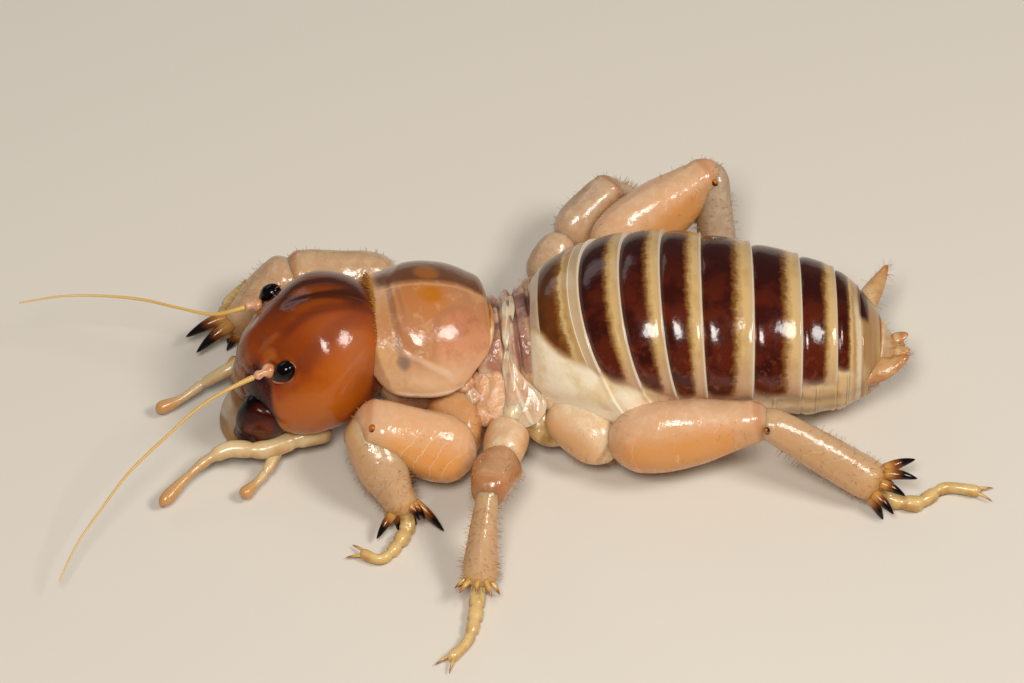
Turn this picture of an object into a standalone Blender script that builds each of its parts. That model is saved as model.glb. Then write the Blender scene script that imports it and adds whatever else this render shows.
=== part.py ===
# Point Conception Jerusalem cricket, life size, crouched with its legs spread on the floor.
# Lengths are millimetres, with the head toward -X, the animal's left side toward -Y and the floor
# at Z = 0. Each finished piece is moved by SHIFT, which puts the bottom centre of the whole box at
# the origin, and is then turned into metres.
import math

import bmesh
import bpy
import numpy as np
from mathutils import Matrix, Vector

MM = 0.001
SHIFT = Vector((0.252, 2.499, 0.0))
GAP = 0.24
FINE_GAP = 0.13
# A hip this far from its thigh has a joint piece of its own between them.
LINK_FROM = 1.3
# Only the soles rest on the floor. What else comes near it stops this far above.
FLOOR_CLEARANCE = 0.12

# The front of the body is turned toward the animal's left, about a point in the waist.
FRONT_TURN = 0.15
FRONT_PIVOT = 1.0

# Head capsule: centre, half sizes across, toward the mouth and through the forehead, and its turn.
HEAD_CENTRE = Vector((-7.06, -1.40, 3.20))
HEAD_HALF = (2.85, 3.10, 2.60)
HEAD_YAW = math.radians(13)
HEAD_PITCH = math.radians(40)
HEAD_ROLL = math.radians(6)
EYE_AT = (1.93, 0.12, 1.66)
EYE_HALF = (0.34, 0.42, 0.36)
# Flat places of the shell, each with its middle, its reach and its depth: the brow beside each
# eye, and the face above the lip.
FLAT_PLACES = (((1.85, 0.35, 1.95), 2.2, 0.33), ((0.5, 2.5, 1.3), 1.6, 0.15))
SOCKET_AT = (1.60, 0.55, 2.05)

PRONOTUM_FRONT = -5.20
PRONOTUM_REAR = -0.78
PRONOTUM_LOWER_EDGE = 3.15

# Stations of the abdomen: x, half width, half height and height of the centre.
ABDOMEN = (
    (0.8, 2.35, 2.15, 2.68), (1.8, 2.95, 2.50, 2.90), (3.0, 3.30, 2.75, 3.10), (5.0, 3.48, 2.96, 3.28),
    (7.0, 3.42, 2.90, 3.20), (9.0, 3.17, 2.70, 3.05), (10.5, 2.92, 2.50, 2.85), (11.5, 2.62, 2.25, 2.70), (12.3, 2.10, 1.80, 2.52),
    (12.9, 1.50, 1.30, 2.30), (13.4, 0.85, 0.75, 2.15))
# Where one ring of the abdomen ends and the next begins.
RING_EDGES = (0.85, 2.28, 3.70, 5.12, 6.57, 8.42, 10.12, 11.37, 12.25, 12.95)
RING_FLARE = 0.035

PEACH = (0.78, 0.50, 0.31)
AMBER = (0.52, 0.17, 0.05)
STRAW = (0.72, 0.52, 0.26)
MAROON = (0.10, 0.02, 0.015)
DARK_BAND = (0.12, 0.03, 0.02)
MEMBRANE = (0.75, 0.60, 0.50)

for old in list(bpy.data.objects):
    bpy.data.objects.remove(old, do_unlink=True)

made = {}


def vec(*values):
    return Vector(values)


# Mesh helpers

def new_piece(name, vertices, faces):
    mesh = bpy.data.meshes.new(name)
    mesh.from_pydata([tuple(v) for v in vertices], [], faces)
    piece = bpy.data.objects.new(name, mesh)
    bpy.context.scene.collection.objects.link(piece)
    return piece


def edit(piece, work):
    body = bmesh.new()
    body.from_mesh(piece.data)
    work(body)
    body.to_mesh(piece.data)
    body.free()


def outward(piece):
    edit(piece, lambda body: bmesh.ops.recalc_face_normals(body, faces=body.faces))
    return piece


def drop(piece):
    mesh = piece.data
    bpy.data.objects.remove(piece, do_unlink=True)
    bpy.data.meshes.remove(mesh)


def smooth_path(points, shares):
    """Points of a smooth curve through the given ones, at the given shares of its length."""
    knots = [Vector(p) for p in points]
    if len(knots) == 2:
        return [knots[0].lerp(knots[1], s) for s in shares]
    knots = [2 * knots[0] - knots[1]] + knots + [2 * knots[-1] - knots[-2]]
    fine = []
    steps = 16
    for a, b, c, d in zip(knots, knots[1:], knots[2:], knots[3:]):
        for k in range(steps):
            t = k / steps
            fine.append(0.5 * (2 * b + (c - a) * t + (2 * a - 5 * b + 4 * c - d) * t ** 2
                               + (3 * b - a - 3 * c + d) * t ** 3))
    fine.append(knots[-2])
    run = np.cumsum([0.0] + [(q - p).length for p, q in zip(fine, fine[1:])])
    grid = np.array(fine)
    return [Vector([np.interp(s * run[-1], run, grid[:, k]) for k in range(3)]) for s in shares]


def skin_rings(name, rings, start=None, end=None):
    """A closed surface over rings of points, each end drawn to a point or closed flat."""
    sides = len(rings[0])
    vertices = [p for ring in rings for p in ring]
    faces = []
    for k in range(len(rings) - 1):
        for i in range(sides):
            j = (i + 1) % sides
            faces.append((k * sides + i, k * sides + j, (k + 1) * sides + j, (k + 1) * sides + i))
    for point, first in ((start, 0), (end, (len(rings) - 1) * sides)):
        if point is None:
            faces.append(tuple(range(first, first + sides)))
            continue
        vertices.append(point)
        faces.extend((first + i, first + (i + 1) % sides, len(vertices) - 1) for i in range(sides))
    return outward(new_piece(name, vertices, faces))


def limb(name, spine, girth, up=(0, 0, 1), rings=12, sides=12, blunt=0.14):
    """A round-ended piece along a curve. Girth lists share of length, half width, half depth."""
    shares = [0.5 - 0.5 * math.cos(math.pi * k / rings) for k in range(rings + 1)]
    path = smooth_path(spine, shares)
    keys = np.array(girth)
    loops = []
    for k in range(1, rings):
        s = shares[k]
        ahead = (path[k + 1] - path[k - 1]).normalized()
        across = ahead.cross(Vector(up)).normalized()
        above = across.cross(ahead)
        edge = min(s, 1 - s) / blunt
        closing = math.sqrt(1 - (1 - edge) ** 2) if edge < 1 else 1.0
        wide = np.interp(s, keys[:, 0], keys[:, 1]) * closing
        deep = np.interp(s, keys[:, 0], keys[:, 2]) * closing
        loops.append([path[k] + across * wide * math.cos(a) + above * deep * math.sin(a)
                      for a in (2 * math.pi * i / sides for i in range(sides))])
    return skin_rings(name, loops, path[0], path[-1])


def ellipsoid(name, centre, axes, half, rings=10, sides=14, taper=0.0):
    """An egg on three axes, with its poles on the second one, narrower there by the taper."""
    loops = []
    for k in range(1, rings):
        lat = math.pi * k / rings
        along = -math.cos(lat)
        wide = math.sin(lat) * (1 - taper * along)
        loops.append([centre + axes[1] * half[1] * along
                      + axes[0] * half[0] * wide * math.cos(a) + axes[2] * half[2] * wide * math.sin(a)
                      for a in (2 * math.pi * i / sides for i in range(sides))])
    return skin_rings(name, loops, centre - axes[1] * half[1], centre + axes[1] * half[1])


def spine_cone(root, tip, radius, blunt=0.22, sides=6):
    """A spur with a sunk root, drawn to a small flat tip."""
    ahead = (tip - root).normalized()
    across = ahead.cross(vec(0.3, 0.2, 1)).normalized()
    above = across.cross(ahead)
    loops = []
    for at, r in ((root, radius), (root.lerp(tip, 0.55), radius * 0.78), (tip, radius * blunt)):
        loops.append([at + across * r * math.cos(a) + above * r * math.sin(a)
                      for a in (2 * math.pi * i / sides for i in range(sides))])
    return skin_rings("spur", loops)


def cut_flat(piece, point, normal):
    """Cuts off what lies beyond a plane and closes the cut."""
    def work(body):
        everything = body.verts[:] + body.edges[:] + body.faces[:]
        cut = bmesh.ops.bisect_plane(body, geom=everything, plane_co=point, plane_no=normal,
                                     clear_outer=True)
        rim = [e for e in cut["geom_cut"] if isinstance(e, bmesh.types.BMEdge)]
        if rim:
            bmesh.ops.contextual_create(body, geom=rim)
        bmesh.ops.recalc_face_normals(body, faces=body.faces)
    edit(piece, work)
    return piece


def largest_shell(piece):
    """Keeps the largest closed surface and drops crumbs that a Boolean left."""
    def work(body):
        left = set(body.verts)
        shells = []
        while left:
            stack = [left.pop()]
            shell = set(stack)
            while stack:
                for edge in stack.pop().link_edges:
                    for v in edge.verts:
                        if v in left:
                            left.discard(v)
                            shell.add(v)
                            stack.append(v)
            shells.append(shell)
        keep = max(shells, key=len)
        bmesh.ops.delete(body, geom=[v for v in body.verts if v not in keep], context="VERTS")
    edit(piece, work)


def is_closed(mesh):
    body = bmesh.new()
    body.from_mesh(mesh)
    sound = len(body.faces) > 3 and all(len(edge.link_faces) == 2 for edge in body.edges)
    body.free()
    return sound


def boolean(piece, operation, tools):
    """Applies one Boolean with a group of closed tools, then removes the tools."""
    group = bpy.data.collections.new("tools")
    bpy.context.scene.collection.children.link(group)
    for tool in tools:
        group.objects.link(tool)
    modifier = piece.modifiers.new("Boolean", "BOOLEAN")
    modifier.operation = operation
    modifier.operand_type = "COLLECTION"
    modifier.collection = group
    for solver in ("EXACT", "MANIFOLD"):
        modifier.solver = solver
        bpy.context.view_layer.update()
        depsgraph = bpy.context.evaluated_depsgraph_get()
        result = bpy.data.meshes.new_from_object(piece.evaluated_get(depsgraph))
        if is_closed(result):
            break
    piece.modifiers.remove(modifier)
    piece.data = result
    for tool in tools:
        drop(tool)
    bpy.data.collections.remove(group)
    largest_shell(piece)
    return piece


def grown_copy(piece, gap):
    tool = bpy.data.objects.new("tool", piece.data.copy())
    bpy.context.scene.collection.objects.link(tool)

    def work(body):
        body.normal_update()
        moves = [v.normal * gap for v in body.verts]
        for v, move in zip(body.verts, moves):
            v.co += move
    edit(tool, work)
    return tool


def box_of(piece):
    points = np.array([v.co for v in piece.data.vertices])
    return points.min(axis=0), points.max(axis=0)


def clear_of(piece, names, gap=GAP):
    """Cuts the neighbours, grown by the gap, out of a piece, so that they meet face to face."""
    for name in names:
        low, high = box_of(piece)
        other_low, other_high = box_of(made[name])
        if (low < other_high + gap).all() and (high > other_low - gap).all():
            boolean(piece, "DIFFERENCE", [grown_copy(made[name], gap)])
    return piece


def finish(piece, colour, roughness, metallic=0.0):
    """Gives a piece its material and files it under its name."""
    material = bpy.data.materials.new(piece.name)
    material.use_nodes = True
    shader = material.node_tree.nodes["Principled BSDF"]
    shader.inputs["Base Color"].default_value = (*colour, 1.0)
    shader.inputs["Roughness"].default_value = roughness
    shader.inputs["Metallic"].default_value = metallic
    piece.data.materials.clear()
    piece.data.materials.append(material)
    made[piece.name] = piece
    return piece


# Thorax

def front_axis(x):
    """Sideways place of the body's middle line ahead of the waist."""
    return -FRONT_TURN * (FRONT_PIVOT - x)


def build_thorax():
    front, rear = PRONOTUM_FRONT, PRONOTUM_REAR
    pronotum = limb("pronotum",
                    [(front, front_axis(front) + 0.05, 3.10), (rear, front_axis(rear) + 0.05, 3.0)],
                    [(0, 2.45, 2.30), (0.25, 2.70, 2.52), (0.55, 2.76, 2.50), (0.75, 2.60, 2.34),
                     (0.89, 2.25, 2.02), (1, 1.90, 1.72)],
                    rings=12, sides=24, blunt=0.10)
    cut_flat(pronotum, (0, 0, PRONOTUM_LOWER_EDGE), (0, 0, -1))
    finish(pronotum, (0.72, 0.38, 0.22), 0.25)


def build_core():
    """The underside of the first ring of the thorax, and the two short rings behind it."""
    prothorax = limb("prothorax",
                     [(-5.3, front_axis(-5.3), 2.2), (-0.95, front_axis(-0.95), 2.1)],
                     [(0, 1.75, 1.2), (0.4, 2.15, 1.45), (1, 1.9, 1.3)],
                     rings=10, sides=18, blunt=0.2)
    cut_flat(prothorax, (0, 0, PRONOTUM_LOWER_EDGE - GAP), (0, 0, 1))
    clear_of(prothorax, ["pronotum", "head"])
    finish(prothorax, MEMBRANE, 0.35)
    for name, start, end, wide, high, mid in (
            ("mesothorax", -0.54, 0.02, 1.92, 1.52, 2.26),
            ("metathorax", 0.26, 0.73, 2.12, 1.75, 2.42)):
        loops = []
        for x, grow in ((start, 0.93), (0.5 * (start + end), 1.03), (end, 0.96)):
            loops.append([vec(x, front_axis(x) - 0.05 + wide * grow * math.cos(a),
                              mid + high * grow * math.sin(a))
                          for a in (2 * math.pi * i / 22 for i in range(22))])
        finish(skin_rings(name, loops), MEMBRANE, 0.3)


# Abdomen

def abdomen_at(x):
    """Sideways place, height of the centre, half width and half height of the abdomen at x."""
    keys = np.array(ABDOMEN)
    wide, high, mid = (float(np.interp(x, keys[:, 0], keys[:, k])) for k in (1, 2, 3))
    bend = -0.045 * max(0.0, x - 5.0) - 0.12 * max(0.0, 2.2 - x)
    return bend, mid, wide, high


def build_abdomen():
    count = len(RING_EDGES) - 1
    for number in range(count):
        start = RING_EDGES[number] + 0.5 * GAP
        end = RING_EDGES[number + 1] - 0.5 * GAP
        loops = []
        for share, flare in ((0, -1.0), (0.3, 0.0), (0.75, 0.6), (1, 0.5)):
            x = start + (end - start) * share
            bend, mid, wide, high = abdomen_at(x)
            grow = 1 + RING_FLARE * flare
            loops.append([vec(x, bend + wide * grow * math.cos(a), mid + high * grow * math.sin(a))
                          for a in (2 * math.pi * i / 26 for i in range(26))])
        finish(skin_rings("abdomen_ring_%d" % (number + 1), loops), DARK_BAND, 0.2)
    rear = RING_EDGES[-1] + 0.5 * GAP
    bend, mid, wide, high = abdomen_at(rear)
    tip = limb("abdomen_tip", [(rear - 0.1, bend, mid), (13.5, bend, 2.12), (14.0, bend - 0.02, 2.1)],
               [(0, wide, high), (0.35, 0.95, 0.8), (0.8, 0.48, 0.42), (1, 0.36, 0.3)],
               rings=9, sides=16, blunt=0.12)
    cut_flat(tip, (rear, 0, 0), (-1, 0, 0))
    finish(tip, (0.75, 0.42, 0.2), 0.35)
    rings = ["abdomen_ring_%d" % k for k in (8, 9)] + ["abdomen_tip"]
    # The left one is folded back along the tail and the right one stands out.
    cerci = {"cercus_left": [(12.35, -1.5, 2.65), (13.2, -1.65, 2.75), (14.0, -1.2, 3.0)],
             "cercus_right": [(12.35, 0.9, 2.7), (13.0, 2.1, 2.85), (13.4, 2.9, 3.0)]}
    for name, run in cerci.items():
        cercus = limb(name, run,
                      [(0, 0.5, 0.5), (0.5, 0.36, 0.36), (1, 0.12, 0.12)], rings=8, sides=10, blunt=0.08)
        finish(clear_of(cercus, rings), (0.80, 0.48, 0.28), 0.4)


# Head

def head_axes():
    """Unit vectors of the head: toward its left, toward the mouth and out of the forehead."""
    ahead = vec(-math.cos(HEAD_YAW), -math.sin(HEAD_YAW), 0)
    left = vec(math.sin(HEAD_YAW), -math.cos(HEAD_YAW), 0)
    mouth = ahead * math.cos(HEAD_PITCH) - vec(0, 0, math.sin(HEAD_PITCH))
    brow = ahead * math.sin(HEAD_PITCH) + vec(0, 0, math.cos(HEAD_PITCH))
    tilt_left = left * math.cos(HEAD_ROLL) + brow * math.sin(HEAD_ROLL)
    tilt_brow = brow * math.cos(HEAD_ROLL) - left * math.sin(HEAD_ROLL)
    return tilt_left, mouth, tilt_brow


def on_head(left, mouth, brow):
    axes = head_axes()
    return HEAD_CENTRE + axes[0] * left + axes[1] * mouth + axes[2] * brow


def flatten_shell(head, axes):
    """Sets the round shell back at its flat places, the same on both sides."""
    for vertex in head.data.vertices:
        out = vertex.co - HEAD_CENTRE
        place = vec(abs(out.dot(axes[0])), out.dot(axes[1]), out.dot(axes[2]))
        for middle, reach, depth in FLAT_PLACES:
            near = max(0, 1 - ((place - vec(*middle)).length / reach) ** 2)
            vertex.co -= out.normalized() * depth * near ** 2


def build_head():
    axes = head_axes()
    head = ellipsoid("head", HEAD_CENTRE, axes, HEAD_HALF, rings=18, sides=26, taper=0.06)
    flatten_shell(head, axes)
    clear_of(head, ["pronotum"])
    sockets = []
    for side, label in ((1, "left"), (-1, "right")):
        eye = ellipsoid("eye_" + label, on_head(side * EYE_AT[0], *EYE_AT[1:]), axes, EYE_HALF,
                        rings=8, sides=12)
        finish(eye, (0.01, 0.01, 0.012), 0.08)
        sockets.append(grown_copy(eye, FINE_GAP))
    boolean(head, "DIFFERENCE", sockets)
    finish(head, AMBER, 0.12)

    clypeus = ellipsoid("clypeus", on_head(0, 2.35, 0.72), axes, (1.1, 0.62, 0.6), rings=8, sides=14)
    finish(clear_of(clypeus, ["head"], FINE_GAP), (0.22, 0.04, 0.02), 0.15)
    labrum = limb("labrum", [on_head(0.1, 2.9, 0.62), on_head(0.2, 3.65, 0.2), on_head(0.45, 4.15, -0.15)],
                  [(0, 0.85, 0.3), (0.5, 0.95, 0.3), (1, 0.7, 0.27)], up=axes[2],
                  rings=9, sides=14, blunt=0.25)
    finish(clear_of(labrum, ["head", "clypeus"], FINE_GAP), (0.62, 0.55, 0.45), 0.3)
    for side, label in ((1, "left"), (-1, "right")):
        mandible = limb("mandible_" + label,
                        [on_head(side * 1.45, 1.9, 0.25), on_head(side * 1.32, 3.0, -0.1),
                         on_head(side * 0.85, 4.1, -0.28)],
                        [(0, 0.85, 1.05), (0.4, 0.60, 0.85), (0.8, 0.38, 0.46), (1, 0.2, 0.24)],
                        up=axes[2], rings=10, sides=12, blunt=0.15)
        clear_of(mandible, ["head", "clypeus", "labrum"], FINE_GAP)
        if side < 0:
            clear_of(mandible, ["mandible_left"], FINE_GAP)
        finish(mandible, MAROON, 0.15)
    jaws = ["head", "labrum", "mandible_left", "mandible_right"]
    labium = limb("labium", [on_head(0, 1.2, -1.9), on_head(0, 2.1, -1.6), on_head(0, 2.8, -1.25)],
                  [(0, 1.2, 0.6), (0.6, 1.15, 0.5), (1, 0.75, 0.35)], up=axes[2],
                  rings=9, sides=14, blunt=0.25)
    cut_flat(labium, (0, 0, FLOOR_CLEARANCE), (0, 0, -1))
    finish(clear_of(labium, jaws, FINE_GAP), (0.66, 0.50, 0.34), 0.35)


def build_feelers():
    """Feelers and palps: each has a jointed run of a real thickness near half a millimetre."""
    runs = {
        "left": [(-8.62, -3.42, 4.62), (-9.28, -3.71, 4.50), (-10.71, -4.33, 4.0), (-12.03, -5.24, 3.3),
                 (-13.37, -6.37, 2.6), (-14.22, -7.36, 2.0), (-15.09, -8.64, 1.5), (-15.65, -9.82, 1.0)],
        "right": [(-9.15, -0.10, 4.33), (-9.62, -0.22, 4.25), (-10.39, -0.23, 4.0), (-11.76, 0.22, 3.8),
                  (-12.98, 0.67, 3.7), (-14.52, 0.95, 3.6), (-15.88, 1.03, 3.5), (-17.56, 0.96, 3.2)]}
    for side, label in ((1, "left"), (-1, "right")):
        run = runs[label]
        root = on_head(side * SOCKET_AT[0], *SOCKET_AT[1:])
        scape = limb("scape_" + label, [root, Vector(run[0]).lerp(Vector(run[1]), 0.75)],
                     [(0, 0.36, 0.36), (0.6, 0.33, 0.33), (1, 0.27, 0.27)], rings=7, sides=10, blunt=0.3)
        finish(clear_of(scape, ["head", "eye_" + label], FINE_GAP), (0.75, 0.40, 0.20), 0.3)
        start = Vector(run[0]).lerp(Vector(run[1]), 0.7)
        whip = limb("feeler_" + label, [start] + run[2:],
                    [(0, 0.26, 0.26), (0.85, 0.25, 0.25), (1, 0.12, 0.12)], rings=18, sides=8, blunt=0.03)
        finish(clear_of(whip, ["scape_" + label], FINE_GAP), (0.70, 0.42, 0.14), 0.35)
    palps = {
        "maxillary_palp_left": [(-6.45, -2.75, 1.25), (-7.61, -3.55, 1.1), (-8.77, -3.96, 1.0),
                                (-10.03, -4.04, 1.1), (-10.55, -4.28, 1.0), (-11.18, -4.76, 0.7),
                                (-12.08, -5.69, 0.42)],
        "maxillary_palp_right": [(-8.6, 0.35, 1.35), (-9.5, -0.25, 1.5), (-10.16, -0.67, 1.4),
                                 (-10.95, -0.9, 1.0), (-11.84, -1.4, 0.65), (-12.66, -1.66, 0.42)],
        "labial_palp_left": [(-8.3, -2.75, 0.95), (-8.3, -3.7, 0.8), (-8.62, -4.6, 0.65),
                             (-9.48, -5.6, 0.42)],
        "labial_palp_right": [(-8.65, -1.3, 0.95), (-9.0, -0.6, 0.8), (-9.5, 0.1, 0.6),
                              (-10.1, 0.6, 0.42)]}
    mouth = ["head", "labrum", "mandible_left", "mandible_right", "labium"]
    placed = []
    for name, run in palps.items():
        palp = limb(name, run, [(0, 0.36, 0.36), (0.5, 0.29, 0.29), (0.85, 0.26, 0.26), (1, 0.32, 0.32)],
                    rings=14, sides=9, blunt=0.07)
        finish(clear_of(palp, mouth + placed, FINE_GAP), STRAW, 0.3)
        placed.append(name)


# Legs

def toe_spurs(ankle, ahead, up, ring_radius, places, length, thick):
    """Cones round the end of a shin. Places lists turn about the shin, lean and share of length."""
    across = ahead.cross(up).normalized()
    above = across.cross(ahead)
    cones = []
    for turn, lean, share in places:
        out = across * math.cos(turn) + above * math.sin(turn)
        root = ankle + out * ring_radius * 0.72 - ahead * 0.35
        way = (ahead * math.cos(lean) + out * math.sin(lean)).normalized()
        cones.append(spine_cone(root, root + way * (length * share + 0.3), thick))
    return cones


def build_leg(name, points, sizes, spurs, neighbours):
    """One leg from its root at the body to its claws.

    Points: coxa start, coxa end, femur start, knee, ankle and the run of the foot. Sizes: half
    width and half depth of the coxa, the femur's thick end and knee, the shin's ends, and the foot.
    """
    coxa_start, coxa_end, thigh_start, knee, ankle = (Vector(p) for p in points[:5])
    foot_run = [Vector(p) for p in points[5]]
    coxa_size, thigh_size, knee_size, shin_top, shin_mid, shin_end, foot_size = sizes
    up = vec(0, 0, 1)

    coxa = limb(name + "_coxa", [coxa_start, coxa_end],
                [(0, *coxa_size), (0.6, *coxa_size), (1, 0.9 * coxa_size[0], 0.9 * coxa_size[1])],
                rings=8, sides=12, blunt=0.35)
    finish(clear_of(coxa, neighbours), PEACH, 0.3)
    chain = [name + "_coxa"]

    if (thigh_start - coxa_end).length > LINK_FROM:
        link = limb(name + "_trochanter", [coxa_end, thigh_start],
                    [(0, 0.8, 0.72), (0.5, 0.72, 0.66), (1, 0.72, 0.66)], rings=8, sides=12, blunt=0.3)
        finish(clear_of(link, neighbours + chain), PEACH, 0.3)
        chain.append(name + "_trochanter")

    thigh_way = (knee - thigh_start).normalized()
    femur = limb(name + "_femur", [thigh_start, knee + thigh_way * 0.35],
                 [(0, 0.7 * thigh_size[0], 0.7 * thigh_size[1]), (0.28, *thigh_size),
                  (0.55, 0.9 * thigh_size[0], 0.9 * thigh_size[1]), (0.85, *knee_size), (1, *knee_size)],
                 rings=12, sides=14, blunt=0.16)
    finish(clear_of(femur, neighbours + chain), PEACH, 0.25)
    chain.append(name + "_femur")

    shin_way = (ankle - knee).normalized()
    tibia = limb(name + "_tibia", [knee + shin_way * 0.15, ankle],
                 [(0, *shin_top), (0.4, *shin_mid), (0.85, *shin_end), (1, *shin_end)],
                 rings=10, sides=12, blunt=0.12)
    places, length, thick = spurs
    boolean(tibia, "UNION", toe_spurs(ankle, shin_way, up, shin_end[0], places, length, thick))
    cut_flat(tibia, (0, 0, FLOOR_CLEARANCE), (0, 0, -1))
    finish(clear_of(tibia, neighbours + chain), PEACH, 0.25)
    chain.append(name + "_tibia")

    foot = limb(name + "_foot", foot_run,
                [(0, *foot_size), (0.3, 1.05 * foot_size[0], foot_size[1]),
                 (0.5, 0.85 * foot_size[0], foot_size[1]), (0.8, 0.85 * foot_size[0], foot_size[1]),
                 (1, foot_size[0], foot_size[1])],
                rings=12, sides=10, blunt=0.09)
    toe, before = foot_run[-1], foot_run[-2]
    toe_way = (toe - before).normalized()
    aside = toe_way.cross(up).normalized()
    claws = [spine_cone(toe - toe_way * 0.2 + aside * s * 0.1,
                        toe + toe_way * 0.5 + aside * s * 0.42 - up * 0.02, 0.16) for s in (-1, 1)]
    boolean(foot, "UNION", claws)
    cut_flat(foot, (0, 0, 0), (0, 0, -1))
    finish(clear_of(foot, neighbours + chain, FINE_GAP), STRAW, 0.3)


def ring_of_spurs(count, start, lean, share=1.0):
    return [(start + 2 * math.pi * k / count, lean, share) for k in range(count)]


def build_legs():
    rings = ["abdomen_ring_%d" % k for k in range(1, 10)]
    chest = ["head", "pronotum", "prothorax", "mesothorax", "metathorax"]
    front_sizes = ((0.85, 0.95), (1.12, 1.22), (0.98, 1.00), (0.82, 0.80), (0.94, 0.86), (0.64, 0.58),
                   (0.30, 0.28))
    mid_sizes = ((0.80, 0.88), (0.84, 0.86), (0.72, 0.70), (0.42, 0.44), (0.52, 0.50), (0.62, 0.54),
                 (0.30, 0.28))
    hind_sizes = ((1.0, 1.05), (1.18, 1.40), (0.78, 0.86), (0.60, 0.66), (0.64, 0.70), (0.78, 0.68),
                  (0.32, 0.30))
    front_spurs = (ring_of_spurs(7, 0.4, 0.35), 0.85, 0.24)
    mid_spurs = (ring_of_spurs(9, 0.2, 0.55), 0.5, 0.2)
    hind_spurs = (ring_of_spurs(6, 0.3, 0.45), 0.85, 0.26)

    build_leg("front_left",
              [(-2.5, -2.2, 2.1), (-1.75, -3.7, 1.6), (-1.30, -4.52, 1.25), (-5.25, -4.30, 2.80),
               (-3.66, -6.62, 0.68),
               [(-3.65, -6.75, 0.38), (-3.98, -7.56, 0.27), (-4.56, -8.24, 0.25), (-5.30, -7.95, 0.24)]],
              front_sizes, front_spurs, chest)
    build_leg("front_right",
              [(-2.9, 1.0, 2.0), (-3.7, 2.5, 1.7), (-4.0, 3.45, 1.75), (-7.90, 3.30, 2.45),
               (-10.20, 1.85, 0.75),
               [(-10.25, 2.0, 0.38), (-10.4, 2.85, 0.27), (-10.2, 3.65, 0.25), (-9.7, 4.2, 0.24)]],
              front_sizes, front_spurs, chest)
    body = chest + rings
    build_leg("mid_left",
              [(0.25, -1.5, 1.9), (0.0, -2.85, 1.75), (-0.18, -4.35, 1.5), (-0.80, -7.35, 3.0),
               (-1.18, -9.80, 0.66),
               [(-1.2, -9.95, 0.36), (-1.31, -10.94, 0.27), (-1.51, -11.76, 0.25), (-2.15, -12.6, 0.24)]],
              mid_sizes, mid_spurs, body + ["front_left_coxa", "front_left_femur"])
    build_leg("mid_right",
              [(0.5, 1.3, 1.9), (0.75, 2.6, 1.7), (1.2, 4.0, 1.9), (3.55, 6.45, 3.15),
               (5.0, 7.35, 0.68),
               [(5.1, 7.4, 0.36), (5.9, 7.75, 0.27), (6.7, 7.7, 0.25), (7.5, 7.2, 0.24)]],
              mid_sizes, mid_spurs, body)
    build_leg("hind_left",
              [(1.95, -2.3, 1.45), (2.5, -4.2, 1.4), (3.35, -4.33, 1.68), (8.75, -4.15, 2.88),
               (13.05, -5.48, 0.82),
               [(13.1, -5.5, 0.42), (14.14, -5.80, 0.30), (15.23, -5.10, 0.27), (16.5, -5.25, 0.26)]],
              hind_sizes, hind_spurs, body + ["mid_left_coxa", "mid_left_trochanter", "mid_left_femur"])
    build_leg("hind_right",
              [(1.95, 1.9, 1.5), (2.2, 3.1, 1.65), (2.95, 4.0, 1.95), (7.20, 6.15, 4.35),
               (7.55, 3.75, 0.85),
               [(7.6, 3.7, 0.42), (8.6, 4.1, 0.30), (9.7, 4.3, 0.27), (10.9, 4.0, 0.26)]],
              hind_sizes, hind_spurs, body + ["mid_right_coxa", "mid_right_trochanter", "mid_right_femur",
                                              "mid_right_tibia", "mid_right_foot"])


build_thorax()
build_head()
build_core()
build_abdomen()
build_feelers()
build_legs()

for node in made.values():
    node.data.transform(Matrix.Translation(SHIFT))
    node.data.transform(Matrix.Scale(MM, 4))
    node.data.shade_smooth()
    node.data.set_sharp_from_angle(angle=math.radians(40))
    node.data.update()
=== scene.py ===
import math

import bpy
import numpy as np
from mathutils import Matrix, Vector


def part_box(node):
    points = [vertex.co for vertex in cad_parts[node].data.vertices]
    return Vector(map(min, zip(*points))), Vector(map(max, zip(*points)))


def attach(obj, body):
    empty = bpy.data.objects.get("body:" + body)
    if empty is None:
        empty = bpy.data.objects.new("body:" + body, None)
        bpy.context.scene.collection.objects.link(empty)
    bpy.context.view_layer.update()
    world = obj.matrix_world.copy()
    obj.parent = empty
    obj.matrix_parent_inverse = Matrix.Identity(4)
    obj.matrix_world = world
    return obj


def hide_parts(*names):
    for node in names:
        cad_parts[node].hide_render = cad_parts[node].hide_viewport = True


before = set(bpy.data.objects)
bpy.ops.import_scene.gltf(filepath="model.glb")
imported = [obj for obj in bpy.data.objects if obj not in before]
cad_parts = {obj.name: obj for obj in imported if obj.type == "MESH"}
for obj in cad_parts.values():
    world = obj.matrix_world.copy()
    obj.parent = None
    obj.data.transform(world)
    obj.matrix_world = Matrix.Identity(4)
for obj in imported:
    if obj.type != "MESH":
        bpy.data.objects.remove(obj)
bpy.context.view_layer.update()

MM = 0.001

# Stage
# A plain pale floor under the animal, two small soft lamps on the camera's side that give the
# twin lights on the head, a weak one behind and a pale sky all round.


def tint(red, green, blue):
    """A colour as it looks on a screen, from 0 to 255, turned into light values."""
    return tuple((c / 255) ** 2.2 for c in (red, green, blue)) + (1,)


FLOOR_SIZE, FLOOR_DROP = 1.2, 0.00001
bpy.ops.mesh.primitive_plane_add(size=FLOOR_SIZE, location=(0, 0, -FLOOR_DROP))
floor = bpy.context.object
floor.name = "floor"
floor.data.materials.append(bpy.data.materials.new("floor_paint"))
floor.data.materials[0].use_nodes = True
floor_shader = floor.data.materials[0].node_tree.nodes["Principled BSDF"]
floor_shader.inputs["Base Color"].default_value = tint(214, 206, 194)
floor_shader.inputs["Roughness"].default_value = 0.9


def new_object(name, data):
    """An object of this data, put in the scene."""
    holder = bpy.data.objects.new(name, data)
    bpy.context.scene.collection.objects.link(holder)
    return holder


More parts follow.
